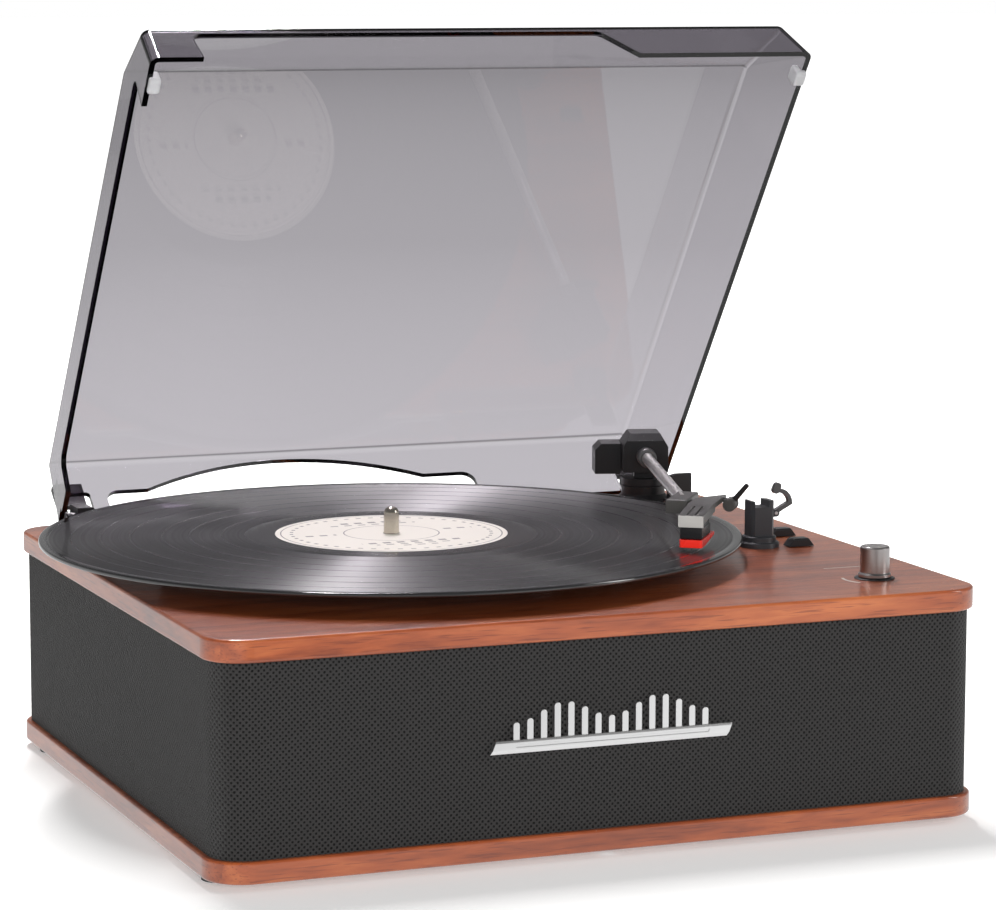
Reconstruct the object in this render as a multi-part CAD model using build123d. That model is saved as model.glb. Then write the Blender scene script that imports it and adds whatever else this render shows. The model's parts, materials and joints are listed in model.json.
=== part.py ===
from build123d import *
from math import atan2, cos, degrees, radians, sin, sqrt, tan
import os

# A table-top record player with built-in speakers, its smoked lid standing open.
# All sizes are millimetres. While a piece is modelled, x = y = 0 is the middle of the cabinet,
# z = 0 the table it stands on, x runs right, y runs back and z up. The last lines of the file
# move the origin to the middle of the whole part's footprint.

# Cabinet
deck_width = 331.0
deck_depth = 300.0
deck_thick = 9.2
base_thick = 9.0
body_height = 76.8
corner_radius = 16.5
edge_round = 1.2
wall_thick = 9.0
grille_thick = 1.2
grille_inset = 2.3
foot_height = 3.2
foot_radius = 8.0
foot_taper = 0.6
foot_side_inset = 10.6
foot_end_inset = 27.0
base_screw_radius = 1.5
base_screw_length = 16.0
base_screw_head = 3.0
base_screw_clearance = 0.1
base_screw_inset = 56.5

# Record, platter and what turns them; an inset is a distance in from the deck's right edge
record_inset = 199.8
record_y = 13.8
record_radius = 150.8
record_thick = 1.9
record_hole_radius = 3.62
label_radius = 50.0
label_thick = 0.2
groove_drop = 0.15
groove_outer_radius = 146.5
groove_inner_radius = 62.0
platter_radius = 100.0
platter_thick = 5.1
platter_web = 2.5
platter_rim = 3.0
mat_radius = 98.0
mat_thick = 2.0
platter_gap = 1.0
drive_ring_radius = 72.0
drive_ring_wall = 3.0
drive_ring_depth = 10.0
hub_radius = 12.0
spindle_radius = 3.55
spindle_tip_radius = 3.3
spindle_rise = 11.5
spindle_dome = 0.4
running_clearance = 0.07
seat_gap = 0.3
well_gap = 4.0
plate_thick = 1.5
plate_margin = 8.0
bearing_radius = 8.0
bearing_flange_radius = 15.0
bearing_depth = 14.0
motor_reach = 84.0
motor_angle = 290.0
motor_radius = 16.0
motor_height = 22.0
motor_shaft_radius = 1.0
pulley_radius = 6.0
pulley_step = 1.5
belt_thick = 0.6
belt_height = 4.0
belt_gap = 0.3

# Tonearm, laid out forward from its upright pivot
pivot_inset = 37.8
pivot_y = 112.0
arm_heading = 18.0
tilt_height = 20.0
pedestal_radius = 15.0
pedestal_flange = 3.0
column_radius = 10.2
column_height = 9.3
rotor_thick = 3.4
tongue_width = 9.0
tongue_length = 8.0
shaft_radius = 3.0
pin_radius = 1.0
housing_width = 21.2
housing_length = 22.0
housing_bottom = 16.5
housing_shoulder = 28.5
housing_top = 34.6
housing_roof_width = 14.0
housing_roof_length = 16.0
weight_reach = 23.0
weight_front = 2.0
weight_back = 14.0
weight_bottom = 14.6
weight_top = 29.0
weight_chamfer = 3.0
collar_radius = 4.4
collar_length = 8.0
tube_radius = 2.65
tube_height = 24.0
tube_rise = 0.54
tube_end = 160.0

# Headshell, laid out back from its front edge
shell_reach = 200.0
shell_side = -1.1
shell_offset = 18.0
shell_half_width = 5.4
shell_length = 52.0
shell_top = 27.0
shell_thick = 2.2
shell_slope_length = 22.0
shell_slope_drop = 2.0
shell_skirt = 5.0
shell_wall = 1.1
shell_groove_width = 0.8
shell_groove_depth = 0.6
shell_groove_spacing = 3.4
fitting_back = 49.0
fitting_front = 23.0
fitting_side = 15.5
fitting_gap = 1.0
fitting_top = 28.0
fitting_height = 5.9
cartridge_half_width = 4.7
cartridge_length = 19.0
cartridge_bottom = 14.8
cartridge_step = 19.6
stylus_half_width = 4.9
stylus_length = 27.0
stylus_bottom = 11.4
stylus_tail = 1.5
needle_radius = 0.4
needle_length = 10.0
needle_gap = 0.2
lift_socket_radius = 2.8
lift_socket_length = 8.0
lift_socket_inset = 6.0
finger_radius = 1.1
finger_length = 11.5
finger_lean = 40.0

# Arm rest and its clip
rest_inset = 41.0
rest_y = -20.0
rest_flange_radius = 8.9
rest_flange = 2.5
rest_step_radius = 7.5
rest_step = 2.4
rest_width = 10.7
rest_depth = 9.4
rest_seat = 17.7
rest_prong = 2.8
rest_groove = 7.0
rest_prong_left = 1.2
clip_pivot_out = 1.6
clip_pivot_height = 14.6
clip_thick = 2.4
clip_wire = 1.9
clip_elbow_out = 7.6
clip_elbow_up = 4.0
clip_pad_out = 1.2
clip_pad_up = 9.6
clip_pad_length = 5.0
clip_ear = 1.4
lever_pin_radius = 0.8

# Cueing lever beside the arm
cue_inset = 28.3
cue_y = 92.0
cue_width = 11.3
cue_thick = 3.0
cue_height = 16.6
cue_pivot_height = 3.4
cue_base_width = 15.0
cue_base_depth = 9.0
cue_base_height = 1.4
cue_ear = 1.5

# Volume knob and switches
knob_inset = 32.2
knob_y = -112.0
knob_radius = 6.85
knob_flange_radius = 7.6
knob_height = 13.6
knob_gap = 0.9
ring_radius = 8.4
ring_thick = 0.5
pot_radius = 8.5
pot_height = 9.0
pot_bush_radius = 3.6
pot_shaft_radius = 3.0
nut_width = 10.0
nut_thick = 2.0
speed_switch_inset = 24.5
speed_switch_y = -25.8
stop_switch_inset = 19.5
stop_switch_y = 2.0
switch_length = 12.0
switch_width = 6.4
switch_rise = 3.7
switch_end_slope = 2.6
switch_gap = 0.3
switch_stem_length = 4.0
switch_stem_width = 2.2
switch_travel = 4.0
switch_body_depth = 8.0
switch_body_wall = 0.5

# Lid, given as it lies closed, and its hinges
lid_open_angle = 53.84
hinge_y = 135.85
hinge_rise = 4.7
lid_side_inset = 16.95
lid_side_draft = 0.099
lid_height = 42.1
lid_rim_gap = 4.2
lid_front = -125.0
lid_back = 142.6
lid_front_draft = 0.187
lid_ridge = 25.3
lid_chamfer_depth = 33.2
lid_wall = 2.4
lid_corner = 4.0
arch_left_inset = 26.5
arch_right = 58.0
arch_shoulder = 21.3
arch_crown = 35.9
arch_half_span = 67.5
arch_corner = 6.0
notch_width = 16.1
notch_height = 21.0
notch_corner = 4.0
front_cut_inset = 22.5
front_cut_right = 67.0
front_cut_slope = 11.0
front_cut_height = 20.5
side_cut_height = 19.8
side_cut_back = 118.2
side_cut_front = -100.0
cut_corner = 5.0
rim_relief = 2.6
rim_relief_depth = 11.6
bumper_length = 9.5
bumper_width = 6.0
bumper_height = 5.5
bumper_drop = 3.9
bumper_y = -111.5
hinge_pin_radius = 1.25
hinge_knuckle_radius = 2.6
hinge_knuckle_inset = 3.25
hinge_knuckle_width = 4.0
hinge_block_inset = 17.95
hinge_block_front = 133.0
hinge_block_back = 146.5
hinge_block_height = 9.6
hinge_leaf_thick = 2.4
hinge_leaf_low = 14.6
hinge_leaf_high = 37.6
hinge_leaf_heel = 5.4
hinge_leaf_root = 10.5
hinge_screw_radius = 2.2
hinge_screw_head = 1.1

# Front ornament
badge_left = -52.9
badge_right = 50.7
badge_low = 45.7
badge_height = 5.3
badge_depth = 2.4
upright_count = 15
upright_width = 2.6
upright_first = -42.0
upright_last = 39.0
upright_short = 7.0
upright_tall = 14.0
upright_depth = 1.8

# Speakers, amplifier and sockets inside and behind
speaker_inset = 73.5
speaker_height = 34.0
speaker_radius = 33.0
speaker_frame = 4.5
speaker_flange = 2.5
speaker_depth = 26.0
magnet_radius = 20.0
magnet_height = 9.0
cone_thick = 0.8
cone_drop = 8.0
throat_length = 6.0
sound_hole_radius = 7.2
sound_hole_ring = 20.5
board_inset = 69.5
board_y = 84.0
board_width = 80.0
board_depth = 56.0
board_thick = 1.6
standoff_height = 6.0
standoff_radius = 3.0
board_corner = 5.0
sink_width = 26.0
sink_depth = 16.0
sink_height = 18.0
fin_pitch = 3.6
fin_space = 2.0
can_radius = 4.5
can_height = 13.0
can_pitch = 12.0
core_width = 24.0
core_depth = 18.0
core_height = 14.0
panel_inset = 69.5
panel_height = 40.0
panel_width = 92.0
panel_tall = 30.0
panel_thick = 2.4
socket_pitch = 20.0
socket_bore_radius = 6.0
rca_radius = 4.15
rca_length = 8.5
rca_hex = 11.0
rca_hex_thick = 2.0
aux_radius = 3.9
aux_bore_radius = 1.8
dc_radius = 5.2
dc_bore_radius = 2.9
dc_pin_radius = 1.0
socket_stub = 3.0
socket_depth = 15.0

# Levels and places that follow from them
right_edge = deck_width / 2
record_x = right_edge - record_inset
pivot_x = right_edge - pivot_inset
rest_x = right_edge - rest_inset
cue_x = right_edge - cue_inset
knob_x = right_edge - knob_inset
speed_switch_x = right_edge - speed_switch_inset
stop_switch_x = right_edge - stop_switch_inset
speaker_spread = right_edge - speaker_inset
board_x = right_edge - board_inset
panel_x = right_edge - panel_inset
lid_half_width = right_edge - lid_side_inset
lift_socket_back = shell_length - lift_socket_inset
hinge_knuckle_out = lid_half_width - hinge_knuckle_inset
hinge_block_inner = lid_half_width - hinge_block_inset
arch_left = arch_left_inset - lid_half_width
front_cut_left = front_cut_inset - lid_half_width
base_low = foot_height
body_low = base_low + base_thick
deck_low = body_low + body_height
deck_top = deck_low + deck_thick
platter_low = deck_top + platter_gap
platter_top = platter_low + platter_thick
mat_top = platter_top + mat_thick
record_top = mat_top + record_thick
plate_low = deck_low - plate_thick
wall_inset = grille_inset + grille_thick
wall_face_y = deck_depth / 2 - wall_inset
grille_face_y = deck_depth / 2 - grille_inset
inner_wall_y = wall_face_y - wall_thick
hinge_z = deck_top + hinge_rise
rim_z = deck_top + lid_rim_gap
motor_x = record_x + motor_reach * cos(radians(motor_angle))
motor_y = record_y + motor_reach * sin(radians(motor_angle))
ring_low = platter_top - drive_ring_depth - platter_web
belt_low = ring_low + 1.0
tilt_z = deck_top + tilt_height
corners = [(sx, sy) for sx in (-1, 1) for sy in (-1, 1)]

nodes = {}


def block(x, y, z):
    """A box between three pairs of coordinates."""
    size = (x[1] - x[0], y[1] - y[0], z[1] - z[0])
    return Pos(x[0], y[0], z[0]) * Box(*size, align=(Align.MIN, Align.MIN, Align.MIN))


def disc(x, y, radius, low, high):
    """An upright round bar from one level to another."""
    return Pos(x, y, low) * Cylinder(radius, high - low, align=(Align.CENTER, Align.CENTER, Align.MIN))


def along_x(radius, x0, x1, y, z):
    """A round bar that lies along x."""
    return Pos(x0, y, z) * Rot(0, 90, 0) * Cylinder(
        radius, x1 - x0, align=(Align.CENTER, Align.CENTER, Align.MIN))


def along_y(radius, x, y0, y1, z):
    """A round bar that lies along y."""
    return Pos(x, y0, z) * Rot(-90, 0, 0) * Cylinder(
        radius, y1 - y0, align=(Align.CENTER, Align.CENTER, Align.MIN))


def turned(points, x, y):
    """A turned piece from its half section in radius and level."""
    face = Plane.XZ * make_face(Polyline(*points, close=True))
    return Pos(x, y, 0) * revolve(face, Axis.Z)


def side_form(points, x0, x1):
    """A piece of one section in y and z, drawn out along x."""
    face = Plane.YZ * make_face(Polyline(*points, close=True))
    return Pos(x0, 0, 0) * extrude(face, amount=x1 - x0, dir=(1, 0, 0))


def front_form(sketch, y0, y1):
    """A piece of one section in x and z, drawn out along y."""
    return Pos(0, y0, 0) * extrude(Plane.XZ * sketch, amount=y1 - y0, dir=(0, 1, 0))


def rounded_slab(inset, low, high):
    """The cabinet's round-cornered outline, moved in by an inset."""
    radius = corner_radius - inset
    outline = RectangleRounded(deck_width - 2 * inset, deck_depth - 2 * inset, max(radius, 1.0))
    return Pos(0, 0, low) * extrude(outline, amount=high - low)


def opened(piece):
    """A piece of the closed lid, turned to where it stands open."""
    return Pos(0, hinge_y, hinge_z) * Rot(-lid_open_angle, 0, 0) * Pos(0, -hinge_y, -hinge_z) * piece


def group(pieces):
    """Alike pieces that share one node as separate solids."""
    return Compound(children=list(pieces))


# Cabinet shell


def screw_places():
    """Where the base screws rise into the walls: the corners' sides and the middles."""
    side = deck_width / 2 - wall_inset - wall_thick / 2
    front = wall_face_y - wall_thick / 2
    reach = deck_depth / 2 - base_screw_inset
    return [(sx * side, sy * reach) for sx, sy in corners] + [(0, -front), (0, front)]


def round_the_drive(extra, low, thick):
    """A slab in the form of a belt round the platter's ring and the pulley, that much larger."""
    big = drive_ring_radius + extra
    small = pulley_radius + extra
    lean = atan2(big - small, sqrt(motor_reach ** 2 - (big - small) ** 2))
    side = (sin(lean), cos(lean))
    wedge = Polyline((big * side[0], big * side[1]), (motor_reach + small * side[0], small * side[1]),
                     (motor_reach + small * side[0], -small * side[1]), (big * side[0], -big * side[1]),
                     close=True)
    form = make_face(wedge) + Circle(big) + Pos(motor_reach, 0) * Circle(small)
    return Pos(record_x, record_y, low) * Rot(0, 0, motor_angle) * extrude(form, amount=thick)


def deck_panel():
    deck = rounded_slab(0, deck_low, deck_top)
    rims = deck.edges().filter_by_position(Axis.Z, deck_low, deck_top).group_by(Axis.Z)
    deck = fillet(rims[0] + rims[-1], edge_round)
    deck -= round_the_drive(well_gap, deck_low, deck_thick)
    deck -= disc(pivot_x, pivot_y, shaft_radius + 3.0, deck_low, deck_top)
    deck -= disc(knob_x, knob_y, pot_bush_radius + running_clearance, deck_low, deck_top)
    for x, y in switch_places():
        deck -= switch_slot(x, y)
    return deck


def base_plate():
    base = rounded_slab(0, base_low, body_low)
    rims = base.edges().filter_by_position(Axis.Z, base_low, body_low).group_by(Axis.Z)
    base = fillet(rims[0] + rims[-1], edge_round)
    for x, y in screw_places():
        base -= disc(x, y, base_screw_radius + base_screw_clearance, base_low, body_low)
    return base


def socket_places():
    return [panel_x + (k - 1.5) * socket_pitch for k in range(4)]


def sound_holes(x):
    """One middle hole and six around it, drilled through the front wall for a speaker."""
    z = body_low + speaker_height
    spots = [(x, z)]
    for k in range(6):
        turn = radians(60 * k)
        spots.append((x + sound_hole_ring * cos(turn), z + sound_hole_ring * sin(turn)))
    return [along_y(sound_hole_radius, sx, -wall_face_y, -inner_wall_y, sz) for sx, sz in spots]


def cabinet_walls():
    """Four boards: the front and the back with the round corners, and the two sides between them."""
    walls = rounded_slab(wall_inset, body_low, deck_low)
    walls -= rounded_slab(wall_inset + wall_thick, body_low, deck_low)
    for x in (-speaker_spread, speaker_spread):
        for hole in sound_holes(x):
            walls -= hole
    for x in socket_places():
        walls -= along_y(socket_bore_radius, x, inner_wall_y, wall_face_y, body_low + panel_height)
    for x, y in screw_places():
        top = base_low + base_screw_length + seat_gap
        walls -= disc(x, y, base_screw_radius + base_screw_clearance, body_low, top)
    seam = deck_depth / 2 - corner_radius - wall_inset
    spans = [((-right_edge, right_edge), (-deck_depth / 2, -seam)), ((-right_edge, right_edge), (seam, deck_depth / 2)),
             ((-right_edge, 0), (-seam, seam)), ((0, right_edge), (-seam, seam))]
    return group(walls & block(x, y, (body_low, deck_low)) for x, y in spans)


def grille_sleeve():
    sleeve = rounded_slab(grille_inset, body_low, deck_low)
    sleeve -= rounded_slab(wall_inset, body_low, deck_low)
    low = body_low + panel_height - panel_tall / 2 - seat_gap
    half = panel_width / 2 + seat_gap
    window = block((panel_x - half, panel_x + half), (inner_wall_y, deck_depth / 2),
                   (low, low + panel_tall + 2 * seat_gap))
    return sleeve - window


def rubber_feet():
    x = right_edge - foot_side_inset
    y = deck_depth / 2 - foot_end_inset
    section = [(0, 0), (foot_radius - foot_taper, 0), (foot_radius, foot_height), (0, foot_height)]
    return group(turned(section, sx * x, sy * y) for sx, sy in corners)


def base_screws():
    head = foot_height / 3
    section = [(0, base_low - head), (base_screw_head * 0.7, base_low - head),
               (base_screw_head, base_low - head / 2), (base_screw_head, base_low),
               (base_screw_radius, base_low), (base_screw_radius, base_low + base_screw_length),
               (0, base_low + base_screw_length)]
    return group(turned(section, x, y) for x, y in screw_places())


# Front ornament: a bar with a row of plain uprights of rising and falling height


def badge_bar():
    face = -grille_face_y
    low = badge_low
    high = badge_low + badge_height
    outline = [(face, low), (face - badge_depth * 0.6, low), (face - badge_depth, low + badge_height * 0.3),
               (face - badge_depth, high - badge_height * 0.15), (face - badge_depth * 0.8, high), (face, high)]
    bar = side_form(outline, badge_left, badge_right)
    ends = Polyline((badge_left, low), (badge_right - badge_height * 0.4, low), (badge_right, high),
                    (badge_left + badge_height * 0.4, high), close=True)
    return bar & front_form(make_face(ends), face - badge_depth, face)


def badge_uprights():
    face = -grille_face_y
    foot = badge_low + badge_height
    step = (upright_last - upright_first) / (upright_count - 1)
    bars = []
    for k in range(upright_count):
        share = 0.5 - 0.5 * cos(radians(360.0 * 2 * k / (upright_count - 1)))
        tall = upright_short + (upright_tall - upright_short) * share
        x = upright_first + k * step
        bar = block((x - upright_width / 2, x + upright_width / 2), (face - upright_depth, face),
                    (foot, foot + tall))
        tips = bar.edges().filter_by(Axis.Y).group_by(Axis.Z)[-1]
        bars.append(fillet(tips, upright_width * 0.45))
    return group(bars)


# Record, platter and drive


def vinyl_record():
    groove = record_top - groove_drop
    edge = record_thick / 3
    section = [(record_hole_radius, mat_top), (record_radius - edge, mat_top),
               (record_radius, mat_top + edge), (record_radius, record_top - edge),
               (record_radius - edge, record_top), (groove_outer_radius + 1, record_top),
               (groove_outer_radius, groove), (groove_inner_radius, groove),
               (groove_inner_radius - 2, record_top), (label_radius, record_top),
               (label_radius, record_top - label_thick), (record_hole_radius, record_top - label_thick)]
    return turned(section, record_x, record_y)


def record_label():
    low = record_top - label_thick
    ring = disc(record_x, record_y, label_radius, low, record_top)
    return ring - disc(record_x, record_y, record_hole_radius, low, record_top)


def platter():
    hole = spindle_radius
    web = platter_top - platter_web
    inner = drive_ring_radius - drive_ring_wall
    rim = platter_radius - platter_rim
    hub_low = ring_low + 1.5
    round_off = 0.8
    section = [(hole, hub_low), (hub_radius, hub_low), (hub_radius, web), (inner, web), (inner, ring_low),
               (drive_ring_radius, ring_low), (drive_ring_radius, web), (rim, web), (rim, platter_low),
               (platter_radius, platter_low), (platter_radius, platter_top - round_off),
               (platter_radius - round_off, platter_top), (hole, platter_top)]
    return turned(section, record_x, record_y)


def platter_mat():
    ring = disc(record_x, record_y, mat_radius, platter_top, mat_top)
    return ring - disc(record_x, record_y, spindle_radius + running_clearance, platter_top, mat_top)


def spindle():
    """The centre pin, a little thinner above the record, with a rounded tip."""
    low = plate_low - bearing_depth + 2.0 + seat_gap
    tip = record_top + spindle_rise
    bar = disc(record_x, record_y, spindle_tip_radius, record_top, tip)
    bar = fillet(bar.edges().group_by(Axis.Z)[-1], spindle_tip_radius - spindle_dome)
    return disc(record_x, record_y, spindle_radius, low, record_top) + bar


def platter_bearing():
    bore = spindle_radius + running_clearance
    low = plate_low - bearing_depth
    top = ring_low + 1.5 - seat_gap
    flange = deck_low + 2.0
    section = [(0, low), (bearing_radius, low), (bearing_radius, deck_low), (bearing_flange_radius, deck_low),
               (bearing_flange_radius, flange), (bearing_radius, flange), (bearing_radius, top),
               (bore, top), (bore, low + 2.0), (0, low + 2.0)]
    return turned(section, record_x, record_y)


def mechanism_plate():
    sheet = round_the_drive(well_gap + plate_margin, plate_low, plate_thick)
    sheet -= disc(record_x, record_y, bearing_radius, plate_low, deck_low)
    return sheet - disc(motor_x, motor_y, pulley_radius, plate_low, deck_low)


def drive_motor():
    can = disc(motor_x, motor_y, motor_radius, plate_low - motor_height, plate_low)
    can = fillet(can.edges().group_by(Axis.Z)[0], 2.0)
    neck = motor_shaft_radius + running_clearance
    return can - disc(motor_x, motor_y, neck, plate_low - motor_height + 3, plate_low)


def motor_pulley():
    """Stepped pulley with its shaft: one step for each speed."""
    low = deck_low + 1.0
    top = belt_low + belt_height + 1.0
    small = pulley_radius - pulley_step
    waist = belt_low - 0.5
    shaft = plate_low - motor_height + 3 + seat_gap
    section = [(0, shaft), (motor_shaft_radius, shaft), (motor_shaft_radius, low), (small, low),
               (small, waist), (pulley_radius, waist), (pulley_radius, top), (0, top)]
    return turned(section, motor_x, motor_y)


def drive_belt():
    """Flat belt round the platter's ring and the pulley."""
    outer = round_the_drive(belt_gap + belt_thick, belt_low, belt_height)
    return outer - round_the_drive(belt_gap, belt_low, belt_height)


# Tonearm. Its pieces are laid out with x forward along the arm, y to its right, z up from the table


def on_arm(piece):
    return Pos(pivot_x, pivot_y, 0) * Rot(0, 0, -90 - arm_heading) * piece


def on_shell(piece):
    return on_arm(Pos(shell_reach, shell_side, 0) * Rot(0, 0, -shell_offset) * piece)


def level(height):
    """A height above the deck as a level."""
    return deck_top + height


def tonearm_pedestal():
    bore = shaft_radius + running_clearance
    flange = level(pedestal_flange)
    top = level(column_height)
    low = deck_low - 4.0
    section = [(bore, low), (shaft_radius + 2.8, low), (shaft_radius + 2.8, deck_top),
               (pedestal_radius, deck_top), (pedestal_radius, flange - 1.0), (pedestal_radius - 1.0, flange),
               (column_radius + 2.5, flange), (column_radius, flange + 2.5), (column_radius, top), (bore, top)]
    return turned(section, pivot_x, pivot_y)


def arm_yoke():
    """The part that swings: a shaft in the pedestal, a round head and a tongue for the tilt pin."""
    low = level(column_height) + seat_gap
    top = low + rotor_thick
    yoke = disc(0, 0, column_radius, low, top)
    yoke += disc(0, 0, shaft_radius, deck_low - 4.0, low)
    yoke += block((-tongue_length / 2, tongue_length / 2), (-tongue_width / 2, tongue_width / 2), (top, tilt_z))
    yoke += along_y(tongue_length / 2, 0, -tongue_width / 2, tongue_width / 2, tilt_z)
    yoke -= along_y(pin_radius + running_clearance, 0, -tongue_width, tongue_width, tilt_z)
    return on_arm(yoke)


def tilt_pin():
    return on_arm(along_y(pin_radius, 0, -housing_width / 2 + 1.5, housing_width / 2 - 1.5, tilt_z))


def housing_form():
    half = housing_width / 2
    long = housing_length / 2
    low = level(housing_bottom)
    high = level(housing_top)
    shoulder = level(housing_shoulder)
    across = [(-half, low), (half, low), (half, shoulder), (housing_roof_width / 2, high),
              (-housing_roof_width / 2, high), (-half, shoulder)]
    form = side_form(across, -long, long)
    roof = housing_roof_length / 2
    front = Polyline((-long, low), (long, low), (long, high - 3.3), (roof, high), (-roof, high),
                     (-long, high - 3.3), close=True)
    return form & front_form(make_face(front), -half, half)


def pivot_housing():
    """A chamfered block with a slot below for the yoke's tongue and its swing."""
    slot_long = tongue_length / 2 + 2.4
    slot_wide = tongue_width / 2 + 0.5
    form = housing_form()
    form -= block((-slot_long, slot_long), (-slot_wide, slot_wide),
                  (level(housing_bottom), tilt_z + tongue_length / 2 + 0.8))
    return on_arm(form - along_y(pin_radius, 0, -housing_width / 2 + 1.5, housing_width / 2 - 1.5, tilt_z))


def counterweight_box():
    half = housing_width / 2
    long = housing_length / 2
    low = level(weight_bottom)
    high = level(weight_top)
    side = block((-weight_back, weight_front), (-weight_reach, -half), (low, high))
    side = chamfer(side.edges().filter_by(Axis.X).group_by(Axis.Y)[0].group_by(Axis.Z)[-1], weight_chamfer)
    back = block((-weight_back, -long), (-half, half - 2.5), (low + 2.5, high))
    return on_arm(side + back)


def tube_axis(radius, start, end):
    """A bar on the tube's line, which climbs a little towards the headshell."""
    run = (end - start) / cos(radians(tube_rise))
    rise = tan(radians(tube_rise)) * start
    bar = Cylinder(radius, run, align=(Align.CENTER, Align.CENTER, Align.MIN))
    return Pos(start, 0, level(tube_height) + rise) * Rot(0, 90 - tube_rise, 0) * bar


def tube_collar():
    front = housing_length / 2
    ring = tube_axis(collar_radius, front - 1, front + collar_length)
    tip = ring.edges().group_by(Axis.X)[-1]
    ring = fillet(tip, 1.0) - tube_axis(tube_radius, front - 2, front + collar_length + 1)
    return on_arm(ring - housing_form())


def fitting_form():
    low = level(fitting_top - fitting_height)
    form = block((-fitting_back, -fitting_front), (-fitting_side, -shell_half_width - fitting_gap),
                 (low, level(fitting_top)))
    return chamfer(form.edges().group_by(Axis.Z)[-1], 0.5)


def tonearm_tube():
    tube = on_arm(tube_axis(tube_radius, housing_length / 2 + seat_gap, tube_end))
    tube = tube - on_shell(fitting_form())
    return tube.solids().sort_by(SortBy.VOLUME)[-1]


def headshell():
    """The fitting that takes the tube, and beside it the plate with its sloping front and skirt."""
    top = level(shell_top)
    under = top - shell_thick
    nose = top - shell_slope_drop
    skirt = nose - shell_skirt
    side = Polyline((0, skirt), (0, nose), (-shell_slope_length, top), (-shell_length, top),
                    (-shell_length, under), (-shell_slope_length, under),
                    (-shell_wall, nose - shell_thick), (-shell_wall, skirt), close=True)
    half = shell_half_width
    plate = front_form(make_face(side), -half, half)
    cheek = Polyline((0, nose - shell_thick - 1.6), (0, nose), (-shell_slope_length, top),
                     (-shell_slope_length - 4, top), (-shell_slope_length - 4, under - 1.6), close=True)
    for y in (-half, half - shell_wall):
        plate += front_form(make_face(cheek), y, y + shell_wall)
    corner = Polyline((-shell_length - 1, -half - 1), (-shell_length - 1, half), (-shell_length + 1, half),
                      (-shell_length + 14, -half), (-shell_length + 14, -half - 1), close=True)
    plate -= extrude(Pos(0, 0, under - 5) * make_face(corner), amount=shell_thick + 10)
    slope = degrees(atan2(shell_slope_drop, shell_slope_length))
    for side_step in (-0.5, 0.5):
        y = side_step * shell_groove_spacing
        cut = Box(shell_slope_length * 0.72, shell_groove_width, 2 * shell_groove_depth)
        middle = -shell_slope_length * 0.42
        plate -= Pos(middle, y, nose - middle * tan(radians(slope))) * Rot(0, slope, 0) * cut
    web = block((-fitting_back + 12, -fitting_front - 2), (-half - fitting_gap, -half), (under - 1, top - 0.8))
    return on_shell(plate + web + fitting_form())


def lift_socket():
    """A round boss on the plate's right edge that holds the finger rod."""
    z = level(shell_top) - lift_socket_radius - 0.6
    y = shell_half_width + lift_socket_radius
    bar = along_x(lift_socket_radius, -lift_socket_back - lift_socket_length / 2,
                  -lift_socket_back + lift_socket_length / 2, y, z)
    bar = chamfer(bar.edges().group_by(Axis.X)[-1], 0.5)
    foot = block((-lift_socket_back - 3, -lift_socket_back + 3),
                 (shell_half_width, y), (z - 0.8, z + lift_socket_radius - 0.6))
    return on_shell(bar + foot - finger_form(0))


def finger_form(extra):
    z = level(shell_top) - lift_socket_radius - 0.6
    y = shell_half_width + lift_socket_radius
    rod = Cone(finger_radius + 0.15, finger_radius - 0.1, finger_length + extra,
               align=(Align.CENTER, Align.CENTER, Align.MIN))
    return Pos(-lift_socket_back, y, z) * Rot(-finger_lean, 0, 0) * rod


def finger_lift():
    rod = finger_form(0)
    return on_shell(fillet(rod.edges().group_by(Axis.Z)[-1], (finger_radius - 0.1) * 0.7))


def cartridge():
    half = cartridge_half_width
    low = level(cartridge_bottom)
    step = level(cartridge_step)
    inner = shell_half_width - shell_wall
    body = block((-cartridge_length, -0.9), (-half, half), (low, step))
    body = chamfer(body.edges().group_by(Axis.Z)[0], 0.5)
    top = level(shell_top) - shell_thick
    neck = block((-cartridge_length + 1, -shell_wall), (-inner, inner), (step, top))
    slope = Polyline((-shell_wall, step), (-shell_wall, top - shell_slope_drop),
                     (-shell_slope_length, top), (-shell_slope_length, step), close=True)
    return on_shell(body + (neck & front_form(make_face(slope), -inner, inner)))


def stylus():
    """The wedge-shaped holder that clips under the cartridge."""
    high = level(cartridge_bottom)
    low = level(stylus_bottom)
    side = Polyline((0, high), (-stylus_length, high), (-stylus_length, high - stylus_tail),
                    (-stylus_length * 0.22, low), (0, low), close=True)
    holder = front_form(make_face(side), -stylus_half_width, stylus_half_width)
    nose = holder.edges().filter_by(Axis.Z).group_by(Axis.X)[-1]
    return on_shell(chamfer(nose, 0.8))


def needle():
    """The cantilever below the holder, with the tip just clear of the record."""
    low = level(stylus_bottom)
    tip = record_top - groove_drop + needle_gap
    arm = along_x(needle_radius, -needle_length - 2, -2, 0, low - needle_radius + 0.02)
    stem = Pos(-2.6, 0, tip) * Cone(0.08, needle_radius * 0.8, low - needle_radius - tip,
                                    align=(Align.CENTER, Align.CENTER, Align.MIN))
    holder = block((-30, 0), (-stylus_half_width, stylus_half_width), (low, low + 3))
    return on_shell(arm + stem - holder)


# Arm rest and clip


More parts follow.
